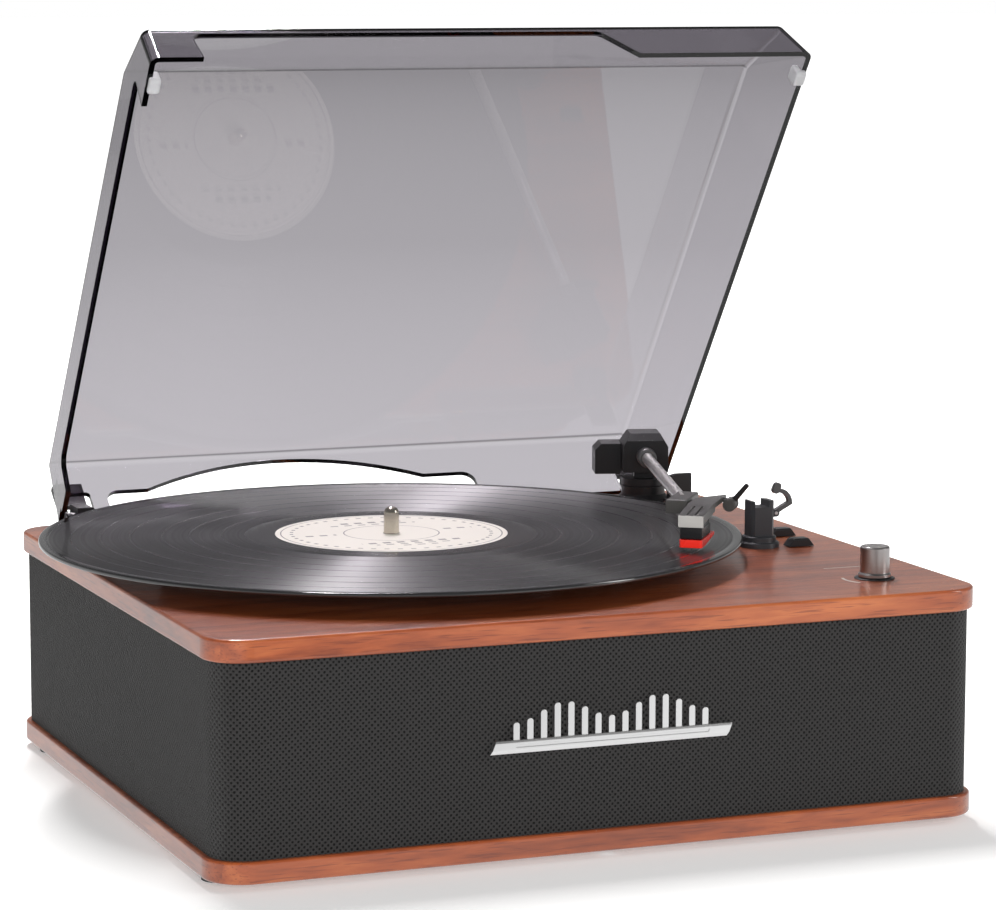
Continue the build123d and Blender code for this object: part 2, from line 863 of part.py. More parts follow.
def arm_rest():
    flange = level(rest_flange)
    step = flange + rest_step
    top = level(rest_seat + rest_prong)
    x0 = rest_x - rest_width / 2
    x1 = rest_x + rest_width / 2
    y0 = rest_y - rest_depth / 2
    y1 = rest_y + rest_depth / 2
    section = [(0, deck_top), (rest_flange_radius, deck_top), (rest_flange_radius, flange - 0.6),
               (rest_flange_radius - 0.6, flange), (rest_step_radius, flange), (rest_step_radius, step - 0.5),
               (rest_step_radius - 0.5, step), (0, step)]
    post = turned(section, rest_x, rest_y)
    box = block((x0, x1), (y0, y1), (step, top))
    box = chamfer(box.edges().filter_by(Axis.Z), 1.2)
    post += box
    groove = x0 + rest_prong_left
    post -= block((groove, groove + rest_groove), (y0 - 1, y1 + 1), (level(rest_seat), top))
    px = x1 + clip_pivot_out
    pz = level(clip_pivot_height)
    for side in (-1, 1):
        near = rest_y + side * (clip_thick / 2 + seat_gap)
        ends = sorted((near, near + side * clip_ear))
        post += along_y(clip_pivot_out, px, *ends, pz)
        post += block((x1 - 1, px), ends, (pz - clip_pivot_out, pz + clip_pivot_out))
    return post - along_y(lever_pin_radius, px, y0 - 2, y1 + 2, pz)


def rest_clip():
    """A flat hook that swings over the groove: root, elbow, curl and a pad at its end."""
    px = rest_x + rest_width / 2 + clip_pivot_out
    pz = level(clip_pivot_height)
    elbow = (px + clip_elbow_out, pz + clip_elbow_up)
    pad = (px + clip_pad_out, pz + clip_pad_up)
    arm = Line((px, pz), elbow)
    curl = ThreePointArc(elbow, (elbow[0] - 0.9, pad[1] - 2.6), pad)
    half = clip_wire / 2
    flat = trace(arm + curl, line_width=clip_wire)
    flat += Pos(*elbow) * Circle(half)
    flat += Pos(px, pz) * Circle(clip_pivot_out)
    head = Pos(pad[0], pad[1] + clip_pad_length * 0.22) * Rot(0, 0, 66) * SlotOverall(clip_pad_length, 3.2)
    flat += head
    hook = front_form(flat, rest_y - clip_thick / 2, rest_y + clip_thick / 2)
    bore = lever_pin_radius + running_clearance
    return hook - along_y(bore, px, rest_y - clip_thick, rest_y + clip_thick, pz)


# Cueing lever


def cue_bracket():
    half = cue_base_width / 2
    plate = block((cue_x - half, cue_x + half), (cue_y - cue_base_depth / 2, cue_y + cue_base_depth / 2),
                  (deck_top, level(cue_base_height)))
    plate = fillet(plate.edges().filter_by(Axis.Z), 1.5)
    inner = cue_width / 2 + seat_gap
    pivot = level(cue_pivot_height)
    for side in (-1, 1):
        ends = sorted((cue_x + side * inner, cue_x + side * (inner + cue_ear)))
        plate += block(ends, (cue_y - 2.0, cue_y + 2.0), (level(cue_base_height), pivot))
        plate += along_x(2.0, ends[0], ends[1], cue_y, pivot)
    return plate - along_x(lever_pin_radius, cue_x - half, cue_x + half, cue_y, pivot)


def lever_pins():
    """The two alike pins that the rest clip and the cueing lever turn on."""
    px = rest_x + rest_width / 2 + clip_pivot_out
    clip_half = clip_thick / 2 + seat_gap + clip_ear
    cue_half = cue_width / 2 + seat_gap + cue_ear
    return group([along_y(lever_pin_radius, px, rest_y - clip_half, rest_y + clip_half, level(clip_pivot_height)),
                  along_x(lever_pin_radius, cue_x - cue_half, cue_x + cue_half, cue_y, level(cue_pivot_height))])


def cue_lever():
    half = cue_width / 2
    pivot = level(cue_pivot_height)
    high = level(cue_height)
    sketch = Polyline((cue_x - half, pivot), (cue_x + half, pivot), (cue_x + half, high),
                      (cue_x - half * 0.35, high), (cue_x - half, high - 0.9), close=True)
    blade = front_form(make_face(sketch), cue_y - cue_thick / 2, cue_y + cue_thick / 2)
    blade += along_x(cue_thick / 2, cue_x - half, cue_x + half, cue_y, pivot)
    return blade - along_x(lever_pin_radius + running_clearance, cue_x - half, cue_x + half, cue_y, pivot)


# Volume knob


def volume_knob():
    low = level(knob_gap)
    top = level(knob_height)
    face = low + 1.4
    hollow = level(ring_thick + nut_thick) + 0.8
    bore = level(knob_height) - 4.0
    section = [(nut_width * 0.58 + 0.4, low), (knob_flange_radius, low), (knob_flange_radius, face - 0.3),
               (knob_flange_radius - 0.3, face), (knob_radius, face + 0.4), (knob_radius, top - 0.6),
               (knob_radius - 0.6, top), (0, top), (0, bore), (pot_shaft_radius, bore),
               (pot_shaft_radius, hollow), (nut_width * 0.58 + 0.4, hollow)]
    return turned(section, knob_x, knob_y)


def volume_shaft():
    return disc(knob_x, knob_y, pot_shaft_radius, deck_low - pot_height + 2, level(knob_height) - 4.0)


def knob_ring():
    ring = disc(knob_x, knob_y, ring_radius, deck_top, level(ring_thick))
    ring = chamfer(ring.edges().group_by(Axis.Z)[-1], ring_thick * 0.4)
    return ring - disc(knob_x, knob_y, pot_bush_radius + running_clearance, deck_top, level(ring_thick))


def potentiometer():
    low = deck_low - pot_height
    bore = pot_shaft_radius + running_clearance
    top = level(ring_thick + nut_thick)
    section = [(0, low), (pot_radius, low), (pot_radius, deck_low - seat_gap), (pot_bush_radius, deck_low - seat_gap),
               (pot_bush_radius, top), (bore, top), (bore, low + 2 - seat_gap), (0, low + 2 - seat_gap)]
    return turned(section, knob_x, knob_y)


def potentiometer_nut():
    hexagon = RegularPolygon(nut_width / 2, 6, major_radius=False)
    nut = Pos(knob_x, knob_y, level(ring_thick)) * extrude(hexagon, amount=nut_thick)
    return nut - disc(knob_x, knob_y, pot_bush_radius, level(ring_thick), level(ring_thick + nut_thick))


# Slide switches


def switch_places():
    return [(speed_switch_x, speed_switch_y), (stop_switch_x, stop_switch_y)]


def switch_slot(x, y):
    """The deck's slot for a switch stem, open over the cap's whole travel."""
    half = switch_stem_length / 2
    wide = switch_stem_width / 2 + switch_gap
    return block((x - half - switch_gap, x + half + switch_travel + switch_gap), (y - wide, y + wide),
                 (deck_low, deck_top))


def switch_cap(x, y):
    half = switch_length / 2
    low = level(switch_gap)
    high = level(switch_rise)
    wide = switch_width / 2
    outline = Polyline((x - half, low), (x + half, low), (x + half - switch_end_slope, high),
                       (x - half + switch_end_slope, high), close=True)
    cap = front_form(make_face(outline), y - wide, y + wide)
    cap = chamfer(cap.edges().filter_by(Axis.X).group_by(Axis.Z)[-1], 0.7)
    stem = switch_stem_length / 2
    thin = switch_stem_width / 2
    return cap + block((x - stem, x + stem), (y - thin, y + thin), (deck_low - 1.5, low))


def switch_bodies():
    """The switches' own cases, screwed under the deck, each with a slot for its stem."""
    cases = []
    half = switch_stem_length / 2 + switch_gap
    wide = switch_stem_width / 2 + switch_gap
    end = half + switch_travel + switch_body_wall
    for x, y in switch_places():
        case = block((x - 6, x + end), (y - 4.5, y + 4.5), (deck_low - switch_body_depth, deck_low))
        cases.append(case - block((x - half, x + half + switch_travel), (y - wide, y + wide),
                                  (deck_low - 1.5 - switch_gap, deck_low)))
    return group(cases)


# Lid and hinges, modelled closed and then opened


def lid_form():
    """The lid's outer form: a side section with a chamfered front, narrowed by its side draft."""
    top = rim_z + lid_height
    ridge_y = lid_front + lid_ridge * lid_front_draft
    section = [(lid_front, rim_z), (ridge_y, rim_z + lid_ridge), (ridge_y + lid_chamfer_depth, top),
               (lid_back, top), (lid_back, rim_z)]
    form = side_form(section, -lid_half_width, lid_half_width)
    narrow = lid_half_width - lid_side_draft * lid_height
    taper = Polyline((-lid_half_width, rim_z), (lid_half_width, rim_z), (narrow, top), (-narrow, top), close=True)
    form &= front_form(make_face(taper), lid_front, lid_back)
    rounds = [e for e in form.edges() if e.center().Z > rim_z + 0.1]
    return fillet(rounds, lid_corner)


def arch_sketch():
    """Shoulders with round corners and a shallow arc over the record's rear edge."""
    radius = (arch_half_span ** 2 + (arch_crown - arch_shoulder) ** 2) / (2 * (arch_crown - arch_shoulder))
    low = rim_z - 5
    high = rim_z + arch_shoulder
    shoulders = Pos((arch_left + arch_right) / 2, (low + high) / 2) * Rectangle(arch_right - arch_left, high - low)
    shoulders = fillet(shoulders.vertices().group_by(Axis.Y)[-1], arch_corner)
    crown = Pos(record_x, rim_z + arch_crown - radius) * Circle(radius)
    crown &= Pos(record_x, high + arch_crown / 2 - 1) * Rectangle(3 * arch_half_span, arch_crown)
    return shoulders + crown


def lid_shell():
    form = lid_form()
    opening = form.faces().sort_by(Axis.Z)[0]
    shell = offset(form, amount=-lid_wall, openings=opening)
    low = rim_z - 5
    behind = (lid_back - 5 * lid_wall, lid_back + 5)
    shell -= front_form(arch_sketch(), *behind)
    notch_top = rim_z + notch_height
    for side in (-1, 1):
        outer = lid_half_width - lid_wall - 0.5
        ends = sorted((side * (outer - notch_width), side * outer))
        notch = Pos((ends[0] + ends[1]) / 2, (low + notch_top) / 2) * Rectangle(ends[1] - ends[0], notch_top - low)
        notch = fillet(notch.vertices().group_by(Axis.Y)[-1], notch_corner * 0.5)
        shell -= front_form(notch, *behind)
    step = rim_z + front_cut_height
    front = Polyline((front_cut_left, low), (front_cut_left, step), (front_cut_right - front_cut_slope, step),
                     (front_cut_right, rim_z), (front_cut_right, low), close=True)
    front = make_face(front)
    front = fillet(front.vertices().group_by(Axis.Y)[-1], cut_corner)
    shell -= front_form(front, lid_front - 5, lid_front + 12)
    side_step = rim_z + side_cut_height
    side = make_face(Polyline((side_cut_front, low), (side_cut_front, side_step), (side_cut_back, side_step),
                              (side_cut_back, low), close=True))
    side = fillet(side.vertices().group_by(Axis.Y)[-1], cut_corner)
    shell -= Pos(-lid_half_width - 5, 0, 0) * extrude(Plane.YZ * side, amount=12, dir=(1, 0, 0))
    relief = block((-lid_half_width - 1, lid_half_width + 1), (lid_back - rim_relief_depth, lid_back + 1),
                   (low, rim_z + rim_relief))
    return shell - relief


def lid_bumpers(shell):
    """Soft pads clipped over the rim at the front of each side wall; the shut lid rests on them."""
    low = rim_z - bumper_drop
    high = rim_z + bumper_height
    pads = []
    for side in (-1, 1):
        ends = sorted((side * (lid_half_width - bumper_width), side * (lid_half_width - 0.2)))
        pad = block(ends, (bumper_y - bumper_length / 2, bumper_y + bumper_length / 2), (low, high))
        pad = fillet(pad.edges().filter_by(Axis.X), 2.4)
        pads.append((pad - shell).solids().sort_by(SortBy.VOLUME)[-1])
    return group(pads)


def hinge_bases():
    """Blocks screwed to the deck, each with a sloping inner end and a bore for its pin."""
    bases = []
    for side in (-1, 1):
        outer = hinge_knuckle_out - hinge_knuckle_width - seat_gap
        low = deck_top
        high = level(hinge_block_height)
        sketch = Polyline((side * outer, low), (side * outer, high), (side * (hinge_block_inner + 3.5), high),
                          (side * hinge_block_inner, high - 2.2), (side * hinge_block_inner, low), close=True)
        base = front_form(make_face(sketch), hinge_block_front, hinge_block_back)
        bore = along_x(hinge_pin_radius, *sorted((side * outer, side * (hinge_block_inner + 2))), hinge_y, hinge_z)
        bases.append(base - bore)
    return group(bases)


def hinge_pins():
    pins = []
    for side in (-1, 1):
        ends = sorted((side * hinge_knuckle_out, side * (hinge_block_inner + 2)))
        pins.append(along_x(hinge_pin_radius, *ends, hinge_y, hinge_z))
    return group(pins)


def hinge_leaves():
    """Leaves on the lid's rear face: a knuckle on the pin, a narrow arm and a plate above the notch."""
    leaves = []
    face = lid_back
    out = face + hinge_leaf_thick
    low = hinge_z + hinge_leaf_low
    high = hinge_z + hinge_leaf_high
    r = hinge_knuckle_radius
    for side in (-1, 1):
        knuckle = sorted((side * (hinge_knuckle_out - hinge_knuckle_width), side * hinge_knuckle_out))
        arm = [(hinge_y - r, hinge_z), (hinge_y + r * 0.2, hinge_z - r * 0.97), (out, hinge_z + hinge_leaf_heel),
               (out, high), (face, high), (face, hinge_z + hinge_leaf_root), (hinge_y - r * 0.5, hinge_z + r * 0.85)]
        leaf = side_form(arm, *knuckle) + along_x(r, *knuckle, hinge_y, hinge_z)
        width = sorted((side * (hinge_block_inner + 1), side * hinge_knuckle_out))
        leaf += block(width, (face, out), (low, high))
        leaf -= along_x(hinge_pin_radius + running_clearance, *knuckle, hinge_y, hinge_z)
        leaves.append(leaf)
    return group(leaves)


def hinge_screws():
    screws = []
    face = lid_back + hinge_leaf_thick
    for side in (-1, 1):
        for x in (hinge_block_inner + 4.5, hinge_knuckle_out - 4.0):
            z = hinge_z + hinge_leaf_high - 6.0
            head = along_y(hinge_screw_radius, side * x, face, face + hinge_screw_head, z)
            screws.append(fillet(head.edges().group_by(Axis.Y)[-1], hinge_screw_head * 0.6))
    return group(screws)


# Speakers


def speaker_at(piece):
    """A speaker part turned about z, stood behind the front wall with its mouth forwards."""
    return [Pos(x, -inner_wall_y, body_low + speaker_height) * Rot(-90, 0, 0) * piece
            for x in (-speaker_spread, speaker_spread)]


def speaker_baskets():
    neck = magnet_radius * 0.7
    mouth = speaker_radius - speaker_frame
    section = [(mouth, 0), (speaker_radius, 0), (speaker_radius, speaker_flange), (mouth + 1.5, speaker_flange),
               (neck + 2, speaker_depth - throat_length), (neck + 2, speaker_depth), (neck - 6, speaker_depth),
               (neck - 6, speaker_depth - 1.5), (neck, speaker_depth - 1.5), (neck, speaker_depth - throat_length)]
    return group(speaker_at(turned(section, 0, 0)))


def speaker_cones():
    mouth = speaker_radius - speaker_frame - 2 * cone_thick
    neck = magnet_radius * 0.7 - seat_gap
    low = cone_thick
    deep = speaker_depth - cone_drop
    cap = neck * 0.6
    section = [(mouth, low), (mouth, low + cone_thick), (neck - 2, deep), (0, deep), (0, deep - 3),
               (cap, deep - cone_thick - 0.2), (neck - 2.5, deep - cone_thick - 0.2), (mouth - 3, low)]
    return group(speaker_at(turned(section, 0, 0)))


def speaker_magnets():
    ring = disc(0, 0, magnet_radius, speaker_depth, speaker_depth + magnet_height)
    return group(speaker_at(chamfer(ring.edges(), 0.8)))


# Amplifier and sockets


def board_corners():
    across = board_width / 2 - board_corner
    back = board_depth / 2 - board_corner
    return [(board_x + sx * across, board_y + sy * back) for sx, sy in corners]


def board_standoffs():
    top = body_low + standoff_height
    return group(disc(x, y, standoff_radius, body_low, top) for x, y in board_corners())


def amplifier_board():
    low = body_low + standoff_height
    half = board_width / 2
    deep = board_depth / 2
    return block((board_x - half, board_x + half), (board_y - deep, board_y + deep), (low, low + board_thick))


def board_parts():
    """What stands on the board: a finned heat sink, three capacitors and a transformer block."""
    low = body_low + standoff_height + board_thick
    left = board_x - sink_width - board_corner
    front = board_y - sink_depth - board_corner
    sink = block((left, left + sink_width), (front, front + sink_depth), (low, low + sink_height))
    for k in range(4):
        start = front + (fin_pitch - fin_space) + k * fin_pitch
        sink -= block((left, left + sink_width), (start, start + fin_space), (low + can_radius, low + sink_height))
    cans = [disc(board_x + 2 * can_radius + can_pitch * k, board_y - can_pitch, can_radius, low, low + can_height)
            for k in range(3)]
    core = block((board_x + board_corner, board_x + board_corner + core_width),
                 (board_y, board_y + core_depth), (low, low + core_height))
    return group([sink, fillet(core.edges().filter_by(Axis.Z), 2.0)] + cans)


def rear_panel():
    z = body_low + panel_height
    half = panel_width / 2
    tall = panel_tall / 2
    panel = block((panel_x - half, panel_x + half), (wall_face_y, wall_face_y + panel_thick), (z - tall, z + tall))
    panel = fillet(panel.edges().filter_by(Axis.Y), 3.0)
    for x, radius in zip(socket_places(), socket_radii()):
        panel -= along_y(radius, x, wall_face_y, wall_face_y + panel_thick, z)
    return panel


def socket_radii():
    return [rca_radius, rca_radius, aux_radius, dc_radius]


def socket_at(section, k):
    """A socket turned about z and laid to point backwards at its place in the panel."""
    spot = Pos(socket_places()[k], wall_face_y, body_low + panel_height)
    return spot * Rot(-90, 0, 0) * turned(section, 0, 0)


def rca_sockets():
    face = panel_thick
    inner = -socket_depth
    hexed = face + rca_hex_thick
    section = [(1.7, inner + 2), (1.7, hexed + rca_length), (rca_radius - 0.3, hexed + rca_length),
               (rca_radius, hexed + rca_length - 0.3), (rca_radius, inner), (0, inner), (0, inner + 2)]
    jacks = []
    for k in (0, 1):
        collar = extrude(RegularPolygon(rca_hex / 2, 6, major_radius=False), amount=rca_hex_thick)
        collar = Pos(0, 0, face) * collar - disc(0, 0, rca_radius - 0.5, face, hexed)
        spot = Pos(socket_places()[k], wall_face_y, body_low + panel_height) * Rot(-90, 0, 0)
        jacks.append(socket_at(section, k) + spot * collar)
    return group(jacks)


def aux_socket():
    inner = -socket_depth
    out = panel_thick + socket_stub
    section = [(aux_bore_radius, inner + 2), (aux_bore_radius, out), (aux_radius + 1.3, out),
               (aux_radius + 1.3, panel_thick), (aux_radius, panel_thick), (aux_radius, inner), (0, inner),
               (0, inner + 2)]
    return socket_at(section, 2)


def dc_inlet():
    inner = -socket_depth
    out = panel_thick + 0.6
    deep = inner + 6
    section = [(dc_pin_radius, deep), (dc_bore_radius, deep), (dc_bore_radius, out), (dc_radius + 1.2, out),
               (dc_radius + 1.2, panel_thick), (dc_radius, panel_thick), (dc_radius, inner), (0, inner),
               (0, out - 1.5), (dc_pin_radius, out - 1.5)]
    return socket_at(section, 3)


# Every piece, by the name of its node

nodes["deck_panel"] = deck_panel()
nodes["base_plate"] = base_plate()
nodes["cabinet_walls"] = cabinet_walls()
nodes["grille_sleeve"] = grille_sleeve()
nodes["rubber_feet"] = rubber_feet()
nodes["base_screws"] = base_screws()
nodes["badge_bar"] = badge_bar()
nodes["badge_uprights"] = badge_uprights()
nodes["vinyl_record"] = vinyl_record()
nodes["record_label"] = record_label()
nodes["platter"] = platter()
nodes["platter_mat"] = platter_mat()
nodes["spindle"] = spindle()
nodes["platter_bearing"] = platter_bearing()
nodes["mechanism_plate"] = mechanism_plate()
nodes["drive_motor"] = drive_motor()
nodes["motor_pulley"] = motor_pulley()
nodes["drive_belt"] = drive_belt()
nodes["tonearm_pedestal"] = tonearm_pedestal()
nodes["arm_yoke"] = arm_yoke()
nodes["tilt_pin"] = tilt_pin()
nodes["pivot_housing"] = pivot_housing()
nodes["counterweight_box"] = counterweight_box()
nodes["tube_collar"] = tube_collar()
nodes["tonearm_tube"] = tonearm_tube()
nodes["headshell"] = headshell()
nodes["lift_socket"] = lift_socket()
nodes["finger_lift"] = finger_lift()
nodes["cartridge"] = cartridge()
nodes["stylus"] = stylus()
nodes["needle"] = needle()
nodes["arm_rest"] = arm_rest()
nodes["rest_clip"] = rest_clip()
nodes["cue_bracket"] = cue_bracket()
nodes["lever_pins"] = lever_pins()
nodes["cue_lever"] = cue_lever()
nodes["volume_knob"] = volume_knob()
nodes["volume_shaft"] = volume_shaft()
nodes["knob_ring"] = knob_ring()
nodes["potentiometer"] = potentiometer()
nodes["potentiometer_nut"] = potentiometer_nut()
nodes["speed_switch"] = switch_cap(speed_switch_x, speed_switch_y)
nodes["auto_stop_switch"] = switch_cap(stop_switch_x, stop_switch_y)
nodes["switch_bodies"] = switch_bodies()
closed_lid = lid_shell()
nodes["lid_shell"] = opened(closed_lid)
nodes["lid_bumpers"] = opened(lid_bumpers(closed_lid))
nodes["hinge_bases"] = hinge_bases()
nodes["hinge_pins"] = hinge_pins()
nodes["hinge_leaves"] = opened(hinge_leaves())
nodes["hinge_screws"] = opened(hinge_screws())
nodes["speaker_baskets"] = speaker_baskets()
nodes["speaker_cones"] = speaker_cones()
nodes["speaker_magnets"] = speaker_magnets()
nodes["amplifier_board"] = amplifier_board()
nodes["board_standoffs"] = board_standoffs()
nodes["board_parts"] = board_parts()
nodes["rear_panel"] = rear_panel()
nodes["rca_sockets"] = rca_sockets()
nodes["aux_socket"] = aux_socket()
nodes["dc_inlet"] = dc_inlet()

# The origin goes to the middle of the footprint: the record overhangs on the left, and the open lid behind

boxes = [piece.bounding_box() for piece in nodes.values()]
middle_x = (min(b.min.X for b in boxes) + max(b.max.X for b in boxes)) / 2
middle_y = (min(b.min.Y for b in boxes) + max(b.max.Y for b in boxes)) / 2
os.makedirs("parts", exist_ok=True)
for name, piece in nodes.items():
    export_step(Pos(-middle_x, -middle_y, 0) * piece, f"parts/{name}.step")
    print(name, "solids", len(piece.solids()))
print("origin in the cabinet's frame", round(middle_x, 3), round(middle_y, 3))
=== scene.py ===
import bpy, bmesh, json, math
from mathutils import Matrix, Vector


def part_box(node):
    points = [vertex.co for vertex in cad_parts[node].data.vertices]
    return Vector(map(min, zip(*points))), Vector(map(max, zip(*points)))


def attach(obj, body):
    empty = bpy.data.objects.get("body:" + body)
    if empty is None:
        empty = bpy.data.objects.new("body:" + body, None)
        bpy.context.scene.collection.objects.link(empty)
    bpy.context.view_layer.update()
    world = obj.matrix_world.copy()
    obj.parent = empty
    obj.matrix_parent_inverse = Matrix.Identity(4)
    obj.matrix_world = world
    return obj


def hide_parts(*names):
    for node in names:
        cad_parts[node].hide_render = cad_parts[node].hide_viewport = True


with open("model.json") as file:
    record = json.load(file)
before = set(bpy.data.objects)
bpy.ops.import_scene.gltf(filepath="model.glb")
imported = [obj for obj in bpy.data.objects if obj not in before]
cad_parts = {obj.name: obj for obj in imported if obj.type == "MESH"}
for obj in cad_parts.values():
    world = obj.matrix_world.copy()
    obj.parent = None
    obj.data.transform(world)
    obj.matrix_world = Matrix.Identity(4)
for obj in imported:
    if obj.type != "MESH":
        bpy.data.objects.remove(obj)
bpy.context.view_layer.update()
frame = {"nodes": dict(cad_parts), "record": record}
nodes = frame["nodes"]
scene = bpy.context.scene
scene.view_settings.view_transform = "Standard"
mm = 0.001
cabinetMiddle = Vector((9.8, -10.865, 0))   # the cabinet's middle in the part's frame, in mm
print("frame:", len(nodes), "nodes")


# a place in mm from the cabinet's middle, given back in metres
def at(x, y, z=0.0):
    return (Vector((x, y, z)) + cabinetMiddle) * mm


# camera, from the photograph's lens and place
cameraSettings = {"place": (-548.9, -1438.665, 352.0), "lens": 130.46, "sensor": 36, "clip": (0.05, 60),
                  "yaw": 21.6995, "pitch": 7.7975, "roll": 0.0868}


def makeCamera(s):
    data = bpy.data.cameras.new("camera")
    data.lens = s["lens"]
    data.sensor_width = s["sensor"]
    data.clip_start, data.clip_end = s["clip"]
    cam = bpy.data.objects.new("camera", data)
    scene.collection.objects.link(cam)
    yaw = Matrix.Rotation(math.radians(-s["yaw"]), 4, "Z")
    pitch = Matrix.Rotation(math.radians(90 - s["pitch"]), 4, "X")
    roll = Matrix.Rotation(math.radians(s["roll"]), 4, "Z")
    cam.matrix_world = Matrix.Translation(Vector(s["place"]) * mm) @ (yaw @ pitch) @ roll
    scene.camera = cam


makeCamera(cameraSettings)


# small helpers for node trees
def put(tree, kind, values=None, **settings):
    n = tree.nodes.new(kind)
    for k, v in settings.items():
        setattr(n, k, v)
    for k, v in (values or {}).items():
        n.inputs[k].default_value = v
    return n


# a socket takes a link, a number, a vector or a colour
def feed(tree, value, socket):
    if isinstance(value, bpy.types.NodeSocket):
        tree.links.new(value, socket)
    elif socket.type == "RGBA" and len(value) == 3:
        socket.default_value = (*value, 1)
    else:
        socket.default_value = value


# sockets by name, with _ for a space
def feedNamed(tree, node, values):
    for k, v in values.items():
        feed(tree, v, node.inputs[k.replace("_", " ")])


def maths(tree, operation, *values):
    n = put(tree, "ShaderNodeMath", operation=operation)
    for k, v in enumerate(values):
        feed(tree, v, n.inputs[k])
    return n.outputs[0]


def vectorMaths(tree, operation, *values):
    n = put(tree, "ShaderNodeVectorMath", operation=operation)
    for k, v in enumerate(values):
        feed(tree, v, n.inputs[k])
    return n.outputs["Value" if operation in ("LENGTH", "DOT_PRODUCT") else "Vector"]


# value * amount + base
def spread(tree, value, amount, base):
    return maths(tree, "ADD", maths(tree, "MULTIPLY", value, amount), base)


# 1 where the value is within a distance of the centre
def near(tree, value, centre, distance):
    return maths(tree, "LESS_THAN", maths(tree, "ABSOLUTE", maths(tree, "SUBTRACT", value, centre)), distance)


def split(tree, vector):
    n = put(tree, "ShaderNodeSeparateXYZ")
    tree.links.new(vector, n.inputs[0])
    return n.outputs


def ownPlace(tree):
    return put(tree, "ShaderNodeTexCoord").outputs["Object"]


def noise(tree, vector, **values):
    n = put(tree, "ShaderNodeTexNoise", values)
    tree.links.new(vector, n.inputs["Vector"])
    return n.outputs


def ramp(tree, factor, stops):
    n = put(tree, "ShaderNodeValToRGB")
    bar = n.color_ramp
    while len(bar.elements) < len(stops):
        bar.elements.new(0.5)
    for e, (where, value) in zip(bar.elements, stops):
        e.position = where
        e.color = (*value, 1) if isinstance(value, tuple) else (value, value, value, 1)
    tree.links.new(factor, n.inputs[0])
    return n.outputs[0]


mixSockets = {"FLOAT": (2, 3, 0), "RGBA": (6, 7, 2)}   # the two inputs and the output of a Mix node


def mixed(tree, factor, a, b, kind="RGBA"):
    n = put(tree, "ShaderNodeMix", data_type=kind)
    first, second, result = mixSockets[kind]
    for socket, v in ((0, factor), (first, a), (second, b)):
        feed(tree, v, n.inputs[socket])
    return n.outputs[result]


def mixedShader(tree, factor, first, second):
    n = put(tree, "ShaderNodeMixShader")
    for k, v in enumerate((factor, first, second)):
        tree.links.new(v, n.inputs[k])
    return n.outputs[0]


def relief(tree, height, strength, distance, under=None):
    n = put(tree, "ShaderNodeBump", {"Distance": distance})
    tree.links.new(height, n.inputs["Height"])
    feed(tree, strength, n.inputs["Strength"])
    if under is not None:
        tree.links.new(under, n.inputs["Normal"])
    return n.outputs[0]


# a normal that is rounded at the edges
def softNormal(tree, radius):
    n = put(tree, "ShaderNodeBevel", samples=4)
    feed(tree, radius, n.inputs["Radius"])
    return n.outputs[0]


def times(colour, factor):
    return tuple(c * factor for c in colour)


def newGroup(name, inputs, outputs):
    g = bpy.data.node_groups.new(name, "ShaderNodeTree")
    kinds = {"f": "NodeSocketFloat", "v": "NodeSocketVector"}
    for label, kind, value in inputs:
        s = g.interface.new_socket(name=label, in_out="INPUT", socket_type=kinds[kind])
        if kind == "f":
            s.default_value = value
    for label, kind in outputs:
        g.interface.new_socket(name=label, in_out="OUTPUT", socket_type=kinds[kind])
    return g, put(g, "NodeGroupInput").outputs, put(g, "NodeGroupOutput").inputs


# uneven tone: slow cloudy change, for handled surfaces
def makeUnevenGroup():
    g, i, o = newGroup("unevenTone", [("Scale", "f", 30.0), ("Amount", "f", 0.2)], [("Value", "f")])
    clouds = put(g, "ShaderNodeTexNoise", {"Detail": 4.0, "Roughness": 0.6})
    g.links.new(ownPlace(g), clouds.inputs["Vector"])
    g.links.new(i["Scale"], clouds.inputs["Scale"])
    centred = maths(g, "SUBTRACT", clouds.outputs["Fac"], 0.5)
    g.links.new(maths(g, "MULTIPLY", centred, i["Amount"]), o["Value"])
    return g


# moulded skin: the fine texture of a plastic or painted surface, as a normal with softened edges
skinLook = {"height": 0.0001, "edgeGain": 6.0}


def makeSkinGroup(s):
    g, i, o = newGroup("mouldedSkin",
                       [("Grain size", "f", 0.0004), ("Depth", "f", 0.2), ("Edge", "f", 0.0003)],
                       [("Normal", "v"), ("Edge mask", "f")])
    grain = put(g, "ShaderNodeTexNoise", {"Detail": 2.0})
    g.links.new(ownPlace(g), grain.inputs["Vector"])
    g.links.new(maths(g, "DIVIDE", 1.0, i["Grain size"]), grain.inputs["Scale"])
    soft = softNormal(g, i["Edge"])
    flat = put(g, "ShaderNodeNewGeometry").outputs["Normal"]
    bend = maths(g, "SUBTRACT", 1.0, vectorMaths(g, "DOT_PRODUCT", soft, flat))
    g.links.new(relief(g, grain.outputs["Fac"], i["Depth"], s["height"], soft), o["Normal"])
    g.links.new(maths(g, "MINIMUM", maths(g, "MULTIPLY", bend, s["edgeGain"]), 1.0), o["Edge mask"])
    return g


# dust: sparse pale specks that settle on faces that look up
dustLook = {"specks": 420.0, "speckSize": 0.09, "patches": 40.0, "bareBelow": 0.52}


